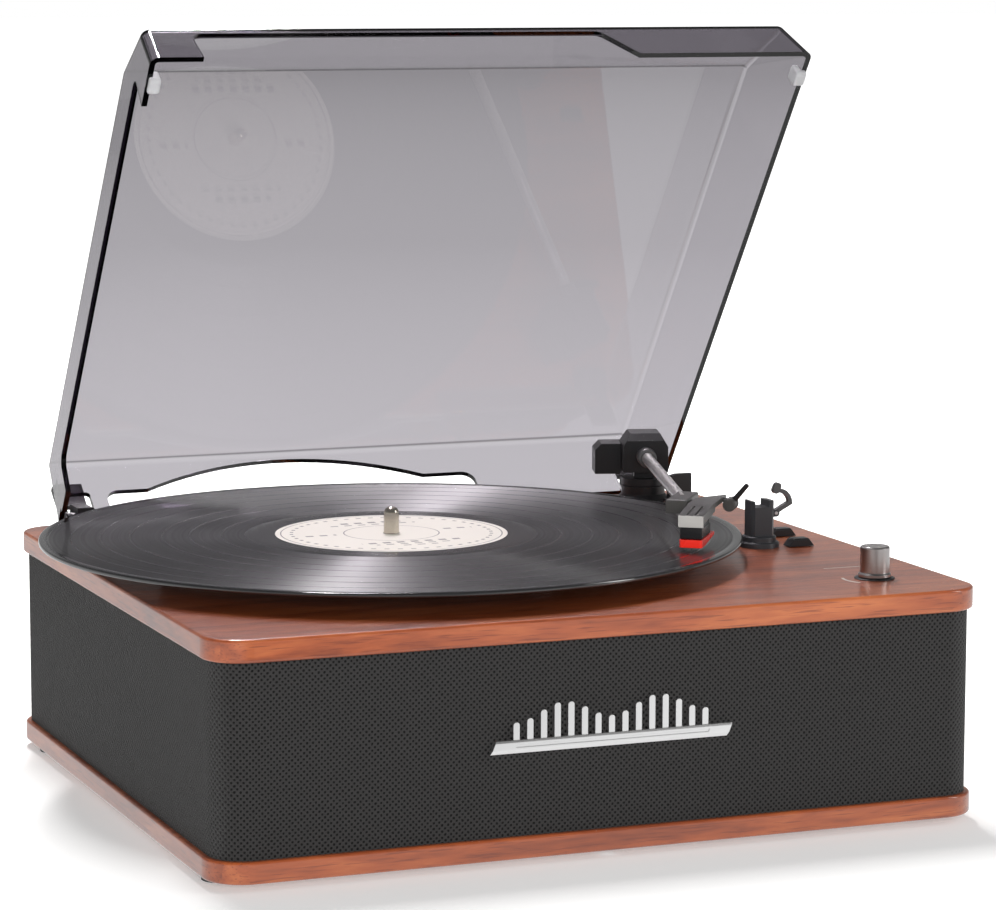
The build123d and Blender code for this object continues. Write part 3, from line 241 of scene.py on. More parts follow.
def makeDustGroup(s):
    g, i, o = newGroup("dust", [("Amount", "f", 0.1)], [("Mask", "f")])
    coords = put(g, "ShaderNodeTexCoord").outputs
    specks = put(g, "ShaderNodeTexVoronoi", {"Scale": s["specks"]})
    g.links.new(coords["Object"], specks.inputs["Vector"])
    small = maths(g, "LESS_THAN", specks.outputs["Distance"], s["speckSize"])
    patches = noise(g, coords["Object"], Scale=s["patches"], Detail=2.0)["Fac"]
    there = maths(g, "MULTIPLY", small, maths(g, "GREATER_THAN", patches, s["bareBelow"]))
    rising = maths(g, "MAXIMUM", split(g, coords["Normal"])["Z"], 0.0)
    g.links.new(maths(g, "MULTIPLY", maths(g, "MULTIPLY", there, rising), i["Amount"]), o["Mask"])
    return g


# brushed lines along one axis of the piece
brushLook = {"height": 0.00005, "edge": 0.0003}


def makeBrushGroup(s):
    g, i, o = newGroup("brushedLines", [("Stretch", "v", None), ("Depth", "f", 0.1)],
                       [("Value", "f"), ("Normal", "v")])
    lines = noise(g, vectorMaths(g, "MULTIPLY", ownPlace(g), i["Stretch"]), Scale=1.0, Detail=3.0)["Fac"]
    g.links.new(lines, o["Value"])
    g.links.new(relief(g, lines, i["Depth"], s["height"], softNormal(g, s["edge"])), o["Normal"])
    return g


unevenGroup = makeUnevenGroup()
skinGroup = makeSkinGroup(skinLook)
dustGroup = makeDustGroup(dustLook)
brushGroup = makeBrushGroup(brushLook)


def place(tree, group, **values):
    n = put(tree, "ShaderNodeGroup", node_tree=group)
    feedNamed(tree, n, values)
    return n.outputs


def newMaterial(name, **values):
    m = bpy.data.materials.new(name)
    m.use_nodes = True
    t = m.node_tree
    shader = t.nodes["Principled BSDF"]
    feedNamed(t, shader, values)
    return m, t, shader


# plastics and paints: paler at the edges, partly wear and partly a painted highlight, unevenly glossy, a
# little dusty
plasticLook = {"cloud": 60.0, "cloudAmount": 0.5, "glossShare": 0.25, "edgeGain": 1.8, "edgeLift": 0.02,
               "dust": (0.55, 0.53, 0.5)}


def plastic(name, colour, roughness, grain=0.0004, depth=0.25, edge=0.0003, dusty=0.25, paler=0.5):
    s = plasticLook
    m, t, shader = newMaterial(name)
    skin = place(t, skinGroup, Grain_size=grain, Depth=depth, Edge=edge)
    uneven = place(t, unevenGroup, Scale=s["cloud"], Amount=s["cloudAmount"])["Value"]
    # the edge colour is both wear and a painted highlight along the edges
    wornAndLitEdge = tuple(min(1.0, c * s["edgeGain"] + s["edgeLift"]) for c in colour)
    toned = mixed(t, maths(t, "MULTIPLY", skin["Edge mask"], paler), colour, wornAndLitEdge)
    speck = place(t, dustGroup, Amount=dusty)["Mask"]
    feedNamed(t, shader, {"Base_Color": mixed(t, speck, toned, s["dust"]),
                          "Roughness": spread(t, uneven, s["glossShare"], roughness),
                          "Normal": skin["Normal"]})
    return m


# metals: brushed, with a slow tarnish; lineShare is how much the lines change tone and gloss
metalLook = {"cloud": 45.0, "cloudAmount": 1.0, "darker": 0.72, "lineShare": 0.12}


def metal(name, colour, roughness, stretch=(200.0, 200.0, 4000.0), depth=0.1, tarnish=0.15):
    s = metalLook
    m, t, shader = newMaterial(name, Metallic=1.0)
    lines = place(t, brushGroup, Stretch=stretch, Depth=depth)
    uneven = place(t, unevenGroup, Scale=s["cloud"], Amount=s["cloudAmount"])["Value"]
    share = spread(t, uneven, tarnish, maths(t, "MULTIPLY", lines["Value"], s["lineShare"]))
    gloss = spread(t, lines["Value"], s["lineShare"], roughness - s["lineShare"] / 2)
    feedNamed(t, shader, {"Base_Color": mixed(t, share, colour, times(colour, s["darker"])),
                          "Roughness": gloss, "Normal": lines["Normal"]})
    return m


# wood: long reddish figure with fine dark pores, lacquered; on the ends it runs the other way
woodLook = {"dark": (0.115, 0.019, 0.006), "middle": (0.29, 0.062, 0.015), "light": (0.43, 0.118, 0.032),
            "toneStops": (0.3, 0.5, 0.68), "figure": (9.0, 62.0, 62.0), "pores": (55.0, 1500.0, 1500.0),
            "fineScale": 5.5, "figureShare": 0.72, "fineShare": 0.28, "pitStops": (0.34, 0.42),
            "pitShare": 0.55, "endFacing": 0.72, "cloud": 20.0, "cloudAmount": 0.6, "gloss": 0.42,
            "glossShare": 0.3, "dusty": 0.3, "dust": (0.5, 0.45, 0.4), "edge": 0.0007, "depth": 0.25,
            "height": 0.0002}


def makeWood(s):
    m, t, shader = newMaterial("lacqueredWood", Coat_Weight=1.0, Coat_Roughness=0.2, Coat_IOR=1.65,
                               Specular_IOR_Level=0.3)
    coords = put(t, "ShaderNodeTexCoord").outputs
    facing = maths(t, "ABSOLUTE", split(t, coords["Normal"])["X"])
    end = maths(t, "GREATER_THAN", facing, s["endFacing"])
    where = split(t, coords["Object"])
    grain = put(t, "ShaderNodeCombineXYZ")
    t.links.new(mixed(t, end, where["X"], where["Y"], "FLOAT"), grain.inputs["X"])
    t.links.new(mixed(t, end, where["Y"], where["X"], "FLOAT"), grain.inputs["Y"])
    t.links.new(where["Z"], grain.inputs["Z"])

    def stretched(scale, **values):
        return noise(t, vectorMaths(t, "MULTIPLY", grain.outputs[0], scale), Scale=1.0, **values)["Fac"]

    figure = stretched(s["figure"], Detail=5.0, Roughness=0.62, Distortion=0.6)
    fine = stretched(times(s["figure"], s["fineScale"]), Detail=3.0)
    pores = stretched(s["pores"], Detail=2.0)
    tone = spread(t, figure, s["figureShare"], maths(t, "MULTIPLY", fine, s["fineShare"]))
    colour = ramp(t, tone, list(zip(s["toneStops"], (s["dark"], s["middle"], s["light"]))))
    pits = ramp(t, pores, list(zip(s["pitStops"], (1.0, 0.0))))
    colour = mixed(t, maths(t, "MULTIPLY", pits, s["pitShare"]), colour, s["dark"])
    speck = place(t, dustGroup, Amount=s["dusty"])["Mask"]
    uneven = place(t, unevenGroup, Scale=s["cloud"], Amount=s["cloudAmount"])["Value"]
    raised = relief(t, maths(t, "SUBTRACT", fine, pits), s["depth"], s["height"], softNormal(t, s["edge"]))
    feedNamed(t, shader, {"Base_Color": mixed(t, speck, colour, s["dust"]),
                          "Roughness": spread(t, uneven, s["glossShare"], s["gloss"]), "Normal": raised})
    return m


# grille cloth: a knit with small holes in staggered rows, on the piece's own UV map in millimetres
clothLook = {"across": 2.4, "up": 2.46, "strand": (0.034, 0.033, 0.033), "hole": (0.002, 0.002, 0.002),
             "strandTones": (0.6, 1.5), "drift": 0.7, "driftScale": 0.35, "holeStops": (0.18, 0.5),
             "holeShare": -0.5, "ply": 19.0, "plyShare": 0.12, "fluff": 6.0, "depth": 0.9, "height": 0.0005}


def makeCloth(s):
    m, t, shader = newMaterial("grilleCloth", Roughness=0.6, Sheen_Weight=0.06, Sheen_Roughness=0.4,
                               Specular_IOR_Level=0.2)
    uv = put(t, "ShaderNodeUVMap", uv_map="millimetres").outputs[0]
    drift = noise(t, uv, Scale=s["driftScale"], Detail=2.0)["Color"]
    where = split(t, vectorMaths(t, "MULTIPLY_ADD", drift, (s["drift"], s["drift"], 0.0), uv))
    waves = [maths(t, "COSINE", maths(t, "MULTIPLY", where[axis], 2 * math.pi / s[pitch]))
             for axis, pitch in (("X", "across"), ("Y", "up"))]
    holes = maths(t, "MULTIPLY", *waves)
    ply = maths(t, "SINE", maths(t, "MULTIPLY", maths(t, "ADD", where["X"], where["Y"]), s["ply"]))
    fluff = noise(t, uv, Scale=s["fluff"], Detail=3.0)["Fac"]
    strand = mixed(t, fluff, *(times(s["strand"], k) for k in s["strandTones"]))
    mask = ramp(t, holes, list(zip(s["holeStops"], (0.0, 1.0))))
    height = spread(t, holes, s["holeShare"], maths(t, "MULTIPLY", ply, s["plyShare"]))
    feedNamed(t, shader, {"Base_Color": mixed(t, mask, strand, s["hole"]),
                          "Normal": relief(t, height, s["depth"], s["height"])})
    return m


# vinyl: rings of grooves that catch light across the record, on a UV map of angle and radius
vinylLook = {"x": -34.3, "y": 13.8, "top": 108.2, "grooves": (62.0, 146.5),
             "tracks": (62.5, 73.0, 86.5, 98.0, 112.0, 124.5, 137.0, 147.2), "trackGap": 0.42,
             "bands": 0.55, "rough": 0.34, "bandShare": 0.3, "smooth": 0.14, "wave": 9.0, "waveShare": 0.25,
             "depth": 0.10, "height": 0.0002}


# the place on the record, from the top of its middle
def fromSpindle(tree):
    middle = at(vinylLook["x"], vinylLook["y"], vinylLook["top"])
    return vectorMaths(tree, "SUBTRACT", ownPlace(tree), middle)


def makeVinyl(s):
    m, t, shader = newMaterial("pressedVinyl", Base_Color=(0.009, 0.009, 0.010), Anisotropic=1.0,
                               Anisotropic_Rotation=0.25, Specular_IOR_Level=1.0, Coat_Weight=0.45,
                               Coat_Roughness=0.09)
    level = vectorMaths(t, "MULTIPLY", fromSpindle(t), (1 / mm, 1 / mm, 0.0))
    radius = vectorMaths(t, "LENGTH", level)
    first, last = s["grooves"]
    grooved = maths(t, "MULTIPLY", maths(t, "GREATER_THAN", radius, first),
                    maths(t, "LESS_THAN", radius, last))
    bandNoise = put(t, "ShaderNodeTexNoise", {"Scale": s["bands"], "Detail": 6.0, "Roughness": 0.75},
                    noise_dimensions="1D")
    t.links.new(radius, bandNoise.inputs["W"])
    bands = bandNoise.outputs["Fac"]
    gaps = near(t, radius, s["tracks"][0], s["trackGap"])
    for r in s["tracks"][1:]:
        gaps = maths(t, "MAXIMUM", gaps, near(t, radius, r, s["trackGap"]))
    cut = maths(t, "MULTIPLY", grooved, maths(t, "SUBTRACT", 1.0, gaps))
    rough = spread(t, bands, s["bandShare"], s["rough"])
    wave = maths(t, "SINE", maths(t, "MULTIPLY", radius, s["wave"]))
    height = maths(t, "MULTIPLY", cut, spread(t, wave, s["waveShare"], bands))
    tangent = put(t, "ShaderNodeTangent", direction_type="UV_MAP", uv_map="angleRadius").outputs[0]
    feedNamed(t, shader, {"Roughness": spread(t, maths(t, "SUBTRACT", rough, s["smooth"]), cut, s["smooth"]),
                          "Tangent": tangent, "Normal": relief(t, height, s["depth"], s["height"])})
    return m


# label: cream paper with plain printed rings, dots and rows of blank dashes
# a row is its middle, its height on the label, its half length and its half thickness
labelLook = {"paper": (0.865, 0.838, 0.745), "ink": (0.07, 0.065, 0.06), "inkShare": 0.8,
             "rings": (47.6, 20.5), "ringHalf": 0.28, "dots": 43.0, "dotHalf": 0.75, "dotCount": 48.0,
             "dotAbove": 0.35, "dashPitch": 2.3, "dashAbove": -0.35, "fibre": 900.0, "darker": 0.94,
             "gloss": 0.38, "glossShare": 0.2, "depth": 0.12, "height": 0.0001,
             "rows": ((0.0, 30.0, 15.0, 1.5), (0.0, 25.0, 20.0, 0.8), (-31.0, 3.0, 7.0, 1.2),
                      (31.0, 3.0, 7.0, 1.2), (0.0, -24.5, 22.0, 1.5), (0.0, -29.0, 17.0, 0.8),
                      (0.0, -33.0, 9.0, 0.8))}


def makeLabel(s):
    m, t, shader = newMaterial("labelPaper", Coat_Weight=0.25, Coat_Roughness=0.25)
    spot = fromSpindle(t)
    where = split(t, spot)
    x, y = (maths(t, "MULTIPLY", where[axis], 1 / mm) for axis in ("X", "Y"))
    radius = maths(t, "SQRT", maths(t, "ADD", maths(t, "MULTIPLY", x, x), maths(t, "MULTIPLY", y, y)))
    angle = maths(t, "MULTIPLY", maths(t, "ARCTAN2", y, x), s["dotCount"])
    beads = maths(t, "GREATER_THAN", maths(t, "COSINE", angle), s["dotAbove"])
    ink = maths(t, "MULTIPLY", beads, near(t, radius, s["dots"], s["dotHalf"]))
    for r in s["rings"]:
        ink = maths(t, "MAXIMUM", ink, near(t, radius, r, s["ringHalf"]))
    wave = maths(t, "SINE", maths(t, "MULTIPLY", maths(t, "SINE", x), s["dashPitch"]))
    dashes = maths(t, "GREATER_THAN", wave, s["dashAbove"])
    for middle, high, half, thick in s["rows"]:
        row = maths(t, "MULTIPLY", near(t, y, high, thick), near(t, x, middle, half))
        ink = maths(t, "MAXIMUM", ink, maths(t, "MULTIPLY", row, dashes))
    fibre = noise(t, spot, Scale=s["fibre"], Detail=3.0)["Fac"]
    paper = mixed(t, fibre, times(s["paper"], s["darker"]), s["paper"])
    feedNamed(t, shader, {"Base_Color": mixed(t, maths(t, "MULTIPLY", ink, s["inkShare"]), paper, s["ink"]),
                          "Roughness": spread(t, fibre, s["glossShare"], s["gloss"]),
                          "Normal": relief(t, fibre, s["depth"], s["height"])})
    return m


# smoked acrylic: clear, violet grey, darker the more of it is looked through
acrylicLook = {"tint": (0.62, 0.59, 0.638, 1), "density": 510.0, "shade": (0.90, 0.885, 0.895, 1),
               "smudge": 14.0, "smudgeShare": 0.06}


def makeAcrylic(s):
    m, t, shader = newMaterial("smokedAcrylic", Transmission_Weight=1.0, IOR=1.49, Base_Color=(1, 1, 1))
    result = t.nodes["Material Output"]
    smudge = place(t, unevenGroup, Scale=s["smudge"], Amount=1.0)["Value"]
    hazy = maths(t, "MAXIMUM", maths(t, "MULTIPLY", smudge, s["smudgeShare"]), 0.0)
    t.links.new(hazy, shader.inputs["Roughness"])
    body = put(t, "ShaderNodeVolumeAbsorption", {"Color": s["tint"], "Density": s["density"]})
    t.links.new(body.outputs[0], result.inputs["Volume"])
    paths = put(t, "ShaderNodeLightPath").outputs
    clear = put(t, "ShaderNodeBsdfTransparent", {"Color": s["shade"]})
    through = maths(t, "MAXIMUM", paths["Is Shadow Ray"], paths["Is Diffuse Ray"])
    either = mixedShader(t, through, shader.outputs[0], clear.outputs[0])   # lamps shine through it
    t.links.new(either, result.inputs["Surface"])
    return m


# felt, paper cones and bare board share a soft fibrous look
fibrousLook = {"tones": (0.5, 1.5), "depth": 0.5, "height": 0.0003}


def fibrous(name, colour, size):
    s = fibrousLook
    m, t, shader = newMaterial(name, Roughness=0.9, Sheen_Weight=0.3)
    fibre = noise(t, ownPlace(t), Scale=1 / size, Detail=5.0, Roughness=0.7)["Fac"]
    feedNamed(t, shader, {"Base_Color": mixed(t, fibre, *(times(colour, k) for k in s["tones"])),
                          "Normal": relief(t, fibre, s["depth"], s["height"])})
    return m


# milky clear rubber of the lid's bumpers
clearLook = {"pale": (0.72, 0.73, 0.74), "dull": (0.62, 0.63, 0.65), "cloud": 80.0, "gloss": 0.4,
             "glossShare": 0.2}


def makeClearRubber(s):
    m, t, shader = newMaterial("clearRubber", Transmission_Weight=0.6, IOR=1.4)
    cloud = place(t, unevenGroup, Scale=s["cloud"], Amount=1.0)["Value"]
    feedNamed(t, shader, {"Base_Color": mixed(t, cloud, s["pale"], s["dull"]),
                          "Roughness": spread(t, cloud, s["glossShare"], s["gloss"])})
    return m


wood = makeWood(woodLook)
cloth = makeCloth(clothLook)
vinyl = makeVinyl(vinylLook)
labelPaper = makeLabel(labelLook)
acrylic = makeAcrylic(acrylicLook)
clearRubber = makeClearRubber(clearLook)
blackPlastic = plastic("blackPlastic", (0.009, 0.009, 0.010), 0.40)
greyPlastic = plastic("greyPlastic", (0.050, 0.049, 0.050), 0.34)
restPlastic = plastic("restPlastic", (0.024, 0.025, 0.028), 0.30)
shellPaint = plastic("shellPaint", (0.046, 0.044, 0.042), 0.30, depth=0.15, paler=0.8)
nosePaint = plastic("nosePaint", (0.40, 0.39, 0.375), 0.24, depth=0.08)
glossBlack = plastic("glossBlack", (0.010, 0.010, 0.011), 0.16, depth=0.05)
redPlastic = plastic("redPlastic", (0.72, 0.022, 0.012), 0.28, depth=0.05, dusty=0.0, paler=0.2)
rubber = plastic("blackRubber", (0.014, 0.014, 0.014), 0.72, grain=0.0008, depth=0.6)
circuitBoard = plastic("circuitBoard", (0.012, 0.07, 0.022), 0.35, depth=0.1)
paleInk = plastic("paleInk", (0.55, 0.52, 0.48), 0.45, depth=0.05, dusty=0.0, paler=0.0)
brightMetal = metal("brightMetal", (0.86, 0.86, 0.87), 0.16, depth=0.04, tarnish=0.05)
satinSteel = metal("satinSteel", (0.56, 0.55, 0.55), 0.28)
tubeMetal = metal("tubeMetal", (0.70, 0.685, 0.67), 0.30, stretch=(900.0, 900.0, 900.0), depth=0.08)
knobMetal = metal("knobMetal", (0.50, 0.48, 0.475), 0.30, stretch=(120.0, 120.0, 2500.0), depth=0.03,
                  tarnish=0.06)
badgeMetal = metal("badgeMetal", (0.97, 0.97, 0.97), 0.34, depth=0.02, tarnish=0.03)
pinMetal = metal("pinMetal", (0.66, 0.61, 0.53), 0.2, depth=0.05, tarnish=0.3)
brass = metal("brass", (0.72, 0.50, 0.20), 0.25)
darkMetal = metal("darkMetal", (0.12, 0.12, 0.125), 0.4)
felt = fibrous("feltMat", (0.03, 0.03, 0.03), 0.0012)
conePaper = fibrous("conePaper", (0.022, 0.022, 0.022), 0.0009)
stainedBoard = fibrous("stainedBoard", (0.035, 0.028, 0.022), 0.002)
print("materials:", len(bpy.data.materials))


def dress(material, *names):
    for name in names:
        slots = nodes[name].data.materials
        slots.clear()
        slots.append(material)


bodyOf = {n: b for b, members in frame["record"]["behaviour"]["bodies"].items() for n in members}


# edges between two faces that meet at more than an angle, in degrees
def folds(bm, angle):
    return [e for e in bm.edges if len(e.link_faces) == 2 and e.calc_face_angle(0.0) > math.radians(angle)]


flatWeight = 90   # how much the large flat faces lead the smooth shading


# edges sharper than some degrees stay crisp; stands are the CAD nodes that the piece is shown for
def finishPiece(bm, name, material, body, stands=(), sharp=32.0):
    mesh = bpy.data.meshes.new(name)
    for f in bm.faces:
        f.smooth = True
    for e in bm.edges:
        if len(e.link_faces) == 2:
            e.smooth = e.calc_face_angle(0.0) < math.radians(sharp)
    bm.to_mesh(mesh)
    bm.free()
    piece = bpy.data.objects.new(name, mesh)
    scene.collection.objects.link(piece)
    mesh.materials.append(material)
    weighted = piece.modifiers.new("flatFaces", "WEIGHTED_NORMAL")
    weighted.keep_sharp = True
    weighted.weight = flatWeight
    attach(piece, body)
    if stands:
        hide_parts(*stands)
    return piece


# a piece that stands for one CAD node, on its body
def finishCopy(bm, name, material, node, sharp=32.0):
    return finishPiece(bm, name, material, bodyOf[node], (node,), sharp)


# a copy of a CAD node with its loose triangles merged, and its flat faces joined where asked
# gap and seam are in metres: vertices closer than that are merged, in a copy and in a turned piece
mergeSettings = {"gap": 2e-6, "seam": 1e-7, "flatAngle": 1.0}


def mergedCopy(node, joined=False):
    bm = bmesh.new()
    bm.from_mesh(nodes[node].data)
    bmesh.ops.remove_doubles(bm, verts=bm.verts, dist=mergeSettings["gap"])
    if joined:
        bmesh.ops.dissolve_limit(bm, angle_limit=math.radians(mergeSettings["flatAngle"]), verts=bm.verts,
                                 edges=bm.edges)
    return bm


def roundEdges(bm, edges, offset, segments):
    bmesh.ops.bevel(bm, geom=edges, offset=offset, segments=segments, profile=0.5, affect="EDGES",
                    material=-1, clamp_overlap=True)


# a smooth copy of a CAD node, for round and glossy pieces, with its edges rounded by some mm
def refine(node, name, material, rounding=0.0, sharp=32.0):
    bm = mergedCopy(node, joined=rounding > 0)
    if rounding:
        roundEdges(bm, folds(bm, sharp), rounding * mm, segments=2)
    return finishCopy(bm, name, material, node, sharp)


# vertices drawn in towards a centre
def slimmed(bm, verts, factors, centre):
    bmesh.ops.scale(bm, vec=factors, verts=verts, space=Matrix.Translation(-centre))


# a turned piece: a closed half section in mm, spun round an upright axis
def turnedPiece(section, middle, steps):
    bm = bmesh.new()
    ring = [bm.verts.new((middle[0] + r * mm, middle[1], z * mm)) for r, z in section]
    lines = [bm.edges.new((a, b)) for a, b in zip(ring, ring[1:] + ring[:1])]
    bmesh.ops.spin(bm, geom=ring + lines, cent=(middle[0], middle[1], 0), axis=(0, 0, 1), dvec=(0, 0, 0),
                   angle=2 * math.pi, steps=steps, use_merge=True)
    bmesh.ops.remove_doubles(bm, verts=bm.verts, dist=mergeSettings["seam"])
    bmesh.ops.recalc_face_normals(bm, faces=bm.faces)
    return bm


# record, with a rounded rim, a raised edge, groove field, run-out and label seat
# rimTurn is in degrees; each pair is a radius and how far it lies under the top
recordShape = {"radius": 150.75, "hole": 3.62, "under": 106.3, "top": 108.2, "rim": 0.55,
               "rimTurn": range(-90, 91, 30), "edge": ((148.6, 0.0), (147.4, 0.03)),
               "field": ((146.5, 0.15), (62.0, 0.15)), "runOut": ((60.8, 0.04), (59.0, 0.0)),
               "seat": ((52.4, 0.0), (51.4, 0.06), (50.1, 0.0), (50.0, 0.0), (50.0, 0.2), (3.62, 0.2)),
               "steps": 288, "uvRise": 10}


def makeRecord(s):
    top, low = s["top"], s["under"]
    turns = [math.radians(d) for d in s["rimTurn"]]
    rim = [(s["radius"] - s["rim"] + s["rim"] * math.cos(a), (top + low) / 2 + (top - low) / 2 * math.sin(a))
           for a in turns]
    upper = [(r, top - dip) for part in ("edge", "field", "runOut", "seat") for r, dip in s[part]]
    middle = at(vinylLook["x"], vinylLook["y"])
    bm = turnedPiece([(s["hole"], low), *rim, *upper], middle, s["steps"])
    uv = bm.loops.layers.uv.new("angleRadius")
    for f in bm.faces:
        base = math.atan2(f.calc_center_median().y - middle.y, f.calc_center_median().x - middle.x)
        for loop in f.loops:
            d = loop.vert.co - middle
            a = math.atan2(d.y, d.x)
            a += 2 * math.pi * round((base - a) / (2 * math.pi))
            loop[uv].uv = (a, math.hypot(d.x, d.y) * s["uvRise"])
    finishPiece(bm, "recordDisc", vinyl, "turntable", ("vinyl_record",), sharp=40)


# the paper label, a thin disc in the record's seat
paperShape = {"hole": 3.62, "radius": 50.0, "topRadius": 49.93, "low": 108.0, "top": 108.2, "steps": 192}


def makePaper(s):
    section = [(s["hole"], s["low"]), (s["radius"], s["low"]), (s["topRadius"], s["top"]),
               (s["hole"], s["top"])]
    bm = turnedPiece(section, at(vinylLook["x"], vinylLook["y"]), s["steps"])
    finishPiece(bm, "recordPaper", labelPaper, "turntable", ("record_label",))


makeRecord(recordShape)
makePaper(paperShape)
print("record done")


# grille: the outline's walls from a bevelled sheet, the socket window cut out, then a thickness
# the window is its left, right, lower and upper edge
grilleShape = {"width": 331.0, "depth": 300.0, "inset": 2.3, "corner": 16.5, "cornerSteps": 14, "low": 12.2,
               "high": 89.0, "thick": 1.2, "window": (49.7, 142.3, 36.9, 67.5)}


def makeGrille(s):
    half = (s["width"] / 2 - s["inset"], s["depth"] / 2 - s["inset"])
    radius = s["corner"] - s["inset"]
    flat = (half[0] - radius, half[1] - radius)
    quarter = radius * math.pi / 2
    centre = at(0, 0)
    bm = bmesh.new()
    bmesh.ops.create_grid(bm, x_segments=1, y_segments=1, size=0.5)
    bmesh.ops.scale(bm, vec=(2 * half[0] * mm, 2 * half[1] * mm, 1), verts=bm.verts)
    bmesh.ops.bevel(bm, geom=list(bm.verts), offset=radius * mm, segments=s["cornerSteps"], profile=0.5,
                    affect="VERTICES", material=-1)
    bmesh.ops.translate(bm, vec=at(0, 0, s["low"]), verts=bm.verts)
    sheet = list(bm.faces)
    grown = bmesh.ops.extrude_edge_only(bm, edges=bm.edges[:])
    lifted = [v for v in grown["geom"] if isinstance(v, bmesh.types.BMVert)]
    bmesh.ops.translate(bm, vec=(0, 0, (s["high"] - s["low"]) * mm), verts=lifted)
    bmesh.ops.delete(bm, geom=sheet, context="FACES_ONLY")
    left, right, lower, upper = s["window"]
    cuts = [(at(x, 0), (1, 0, 0)) for x in (left, right)] + [(at(0, 0, z), (0, 0, 1)) for z in (lower, upper)]
    for where, along in cuts:
        bmesh.ops.bisect_plane(bm, geom=bm.verts[:] + bm.edges[:] + bm.faces[:], plane_co=where,
                               plane_no=along)
    low, high = at(left, flat[1], lower), at(right, s["depth"], upper)
    inside = [f for f in bm.faces
              if all(a < c < b for a, c, b in zip(low, f.calc_center_median(), high))]
    bmesh.ops.delete(bm, geom=inside, context="FACES")
    bmesh.ops.recalc_face_normals(bm, faces=bm.faces)
    uv = bm.loops.layers.uv.new("millimetres")

    # distance round the outline from the middle of the front, to the right and, below zero, to the left
    def reach(p):
        x, y = (p.x - centre.x) / mm, (p.y - centre.y) / mm
        side = 1 if x >= 0 else -1
        x = abs(x)
        if y < -flat[1] and x <= flat[0]:
            run = x
        elif y < -flat[1]:
            run = flat[0] + radius * math.atan2(x - flat[0], -y - flat[1])
        elif y <= flat[1]:
            run = flat[0] + quarter + y + flat[1]
        elif x > flat[0]:
            run = flat[0] + quarter + 2 * flat[1] + radius * math.atan2(y - flat[1], x - flat[0])
        else:
            run = flat[0] + 2 * quarter + 2 * flat[1] + flat[0] - x
        return side * run

    for f in bm.faces:
        onLeft = f.calc_center_median().x < centre.x
        behind = f.calc_center_median().y > centre.y + flat[1] * mm
        for loop in f.loops:
            run = reach(loop.vert.co)
            if behind and (run > 0) == onLeft:   # the two runs meet at the back
                run = -run
            loop[uv].uv = (run, loop.vert.co.z / mm)
    facingIn = sum(1 for f in bm.faces if f.normal.dot(f.calc_center_median() - centre) < 0)
    if facingIn > len(bm.faces) / 2:
        bmesh.ops.reverse_faces(bm, faces=bm.faces)
    bmesh.ops.solidify(bm, geom=bm.faces[:], thickness=s["thick"] * mm)
    finishPiece(bm, "grilleClothWrap", cloth, "root", ("grille_sleeve",), sharp=40)


makeGrille(grilleShape)
print("grille done")

# everything that keeps its CAD shape
dress(wood, "deck_panel", "base_plate")
dress(stainedBoard, "cabinet_walls")
dress(rubber, "rubber_feet", "drive_belt")
dress(satinSteel, "base_screws", "mechanism_plate", "drive_motor", "volume_shaft", "potentiometer",
      "potentiometer_nut", "lever_pins", "hinge_pins", "tilt_pin", "speaker_baskets", "board_parts")
dress(brass, "platter_bearing", "motor_pulley", "board_standoffs", "rca_sockets")
dress(felt, "platter_mat")
dress(conePaper, "speaker_cones")
dress(darkMetal, "speaker_magnets")
dress(circuitBoard, "amplifier_board")
dress(blackPlastic, "rear_panel", "aux_socket", "dc_inlet", "switch_bodies", "knob_ring", "cue_bracket",
      "arm_yoke", "speed_switch", "auto_stop_switch", "cue_lever", "hinge_bases")
dress(glossBlack, "platter")
dress(brightMetal, "needle")
dress(badgeMetal, "badge_uprights")

# smooth copies of the round, bevelled and clear ones
refine("lid_shell", "smokedLid", acrylic, sharp=28)
refine("spindle", "centrePin", pinMetal)
refine("pivot_housing", "armHousing", blackPlastic, 0.4)
refine("counterweight_box", "weightBox", blackPlastic, 0.4)
refine("tonearm_pedestal", "armColumn", blackPlastic)
refine("tube_collar", "armCollar", greyPlastic)
refine("tonearm_tube", "armTube", tubeMetal)
armShell = refine("headshell", "armShell", shellPaint, 0.18)
refine("lift_socket", "fingerSocket", shellPaint)
refine("finger_lift", "fingerRod", blackPlastic)
refine("cartridge", "cartridgeBody", glossBlack, 0.15)
refine("stylus", "stylusHolder", redPlastic, 0.3)
refine("arm_rest", "restPost", restPlastic, 0.2)
refine("rest_clip", "clipHook", greyPlastic)


# knob, a little slimmer than its solid, with a pale index on its top
# the index is its place from the knob's middle, its width, length and height
knobLook = {"middle": (133.3, -112.0), "slim": 0.9, "top": 111.8, "index": (0.0, -4.0, 0.6, 2.4, 0.1),
            "indexRounding": 0.03}


def makeKnob(s):
    bm = mergedCopy("volume_knob")
    slimmed(bm, bm.verts, (s["slim"], s["slim"], 1), at(*s["middle"]))
    finishCopy(bm, "knobCap", knobMetal, "volume_knob")
    x, y, wide, long, high = s["index"]
    bm = bmesh.new()
    bmesh.ops.create_cube(bm, size=1.0)
    bmesh.ops.scale(bm, vec=(wide * mm, long * mm, high * mm), verts=bm.verts)
    bmesh.ops.translate(bm, vec=at(s["middle"][0] + x, s["middle"][1] + y, s["top"]), verts=bm.verts)
    bmesh.ops.bevel(bm, geom=bm.edges[:], offset=s["indexRounding"] * mm, segments=1, profile=0.5,
                    affect="EDGES", material=-1)
    finishPiece(bm, "knobIndex", paleInk, bodyOf["volume_knob"])


# bumpers: small rounded pads over the rim, a fifth smaller than their solids
padLook = {"size": (0.85, 0.8, 0.8), "rounding": 0.9, "roundAbove": 40, "sharp": 50}


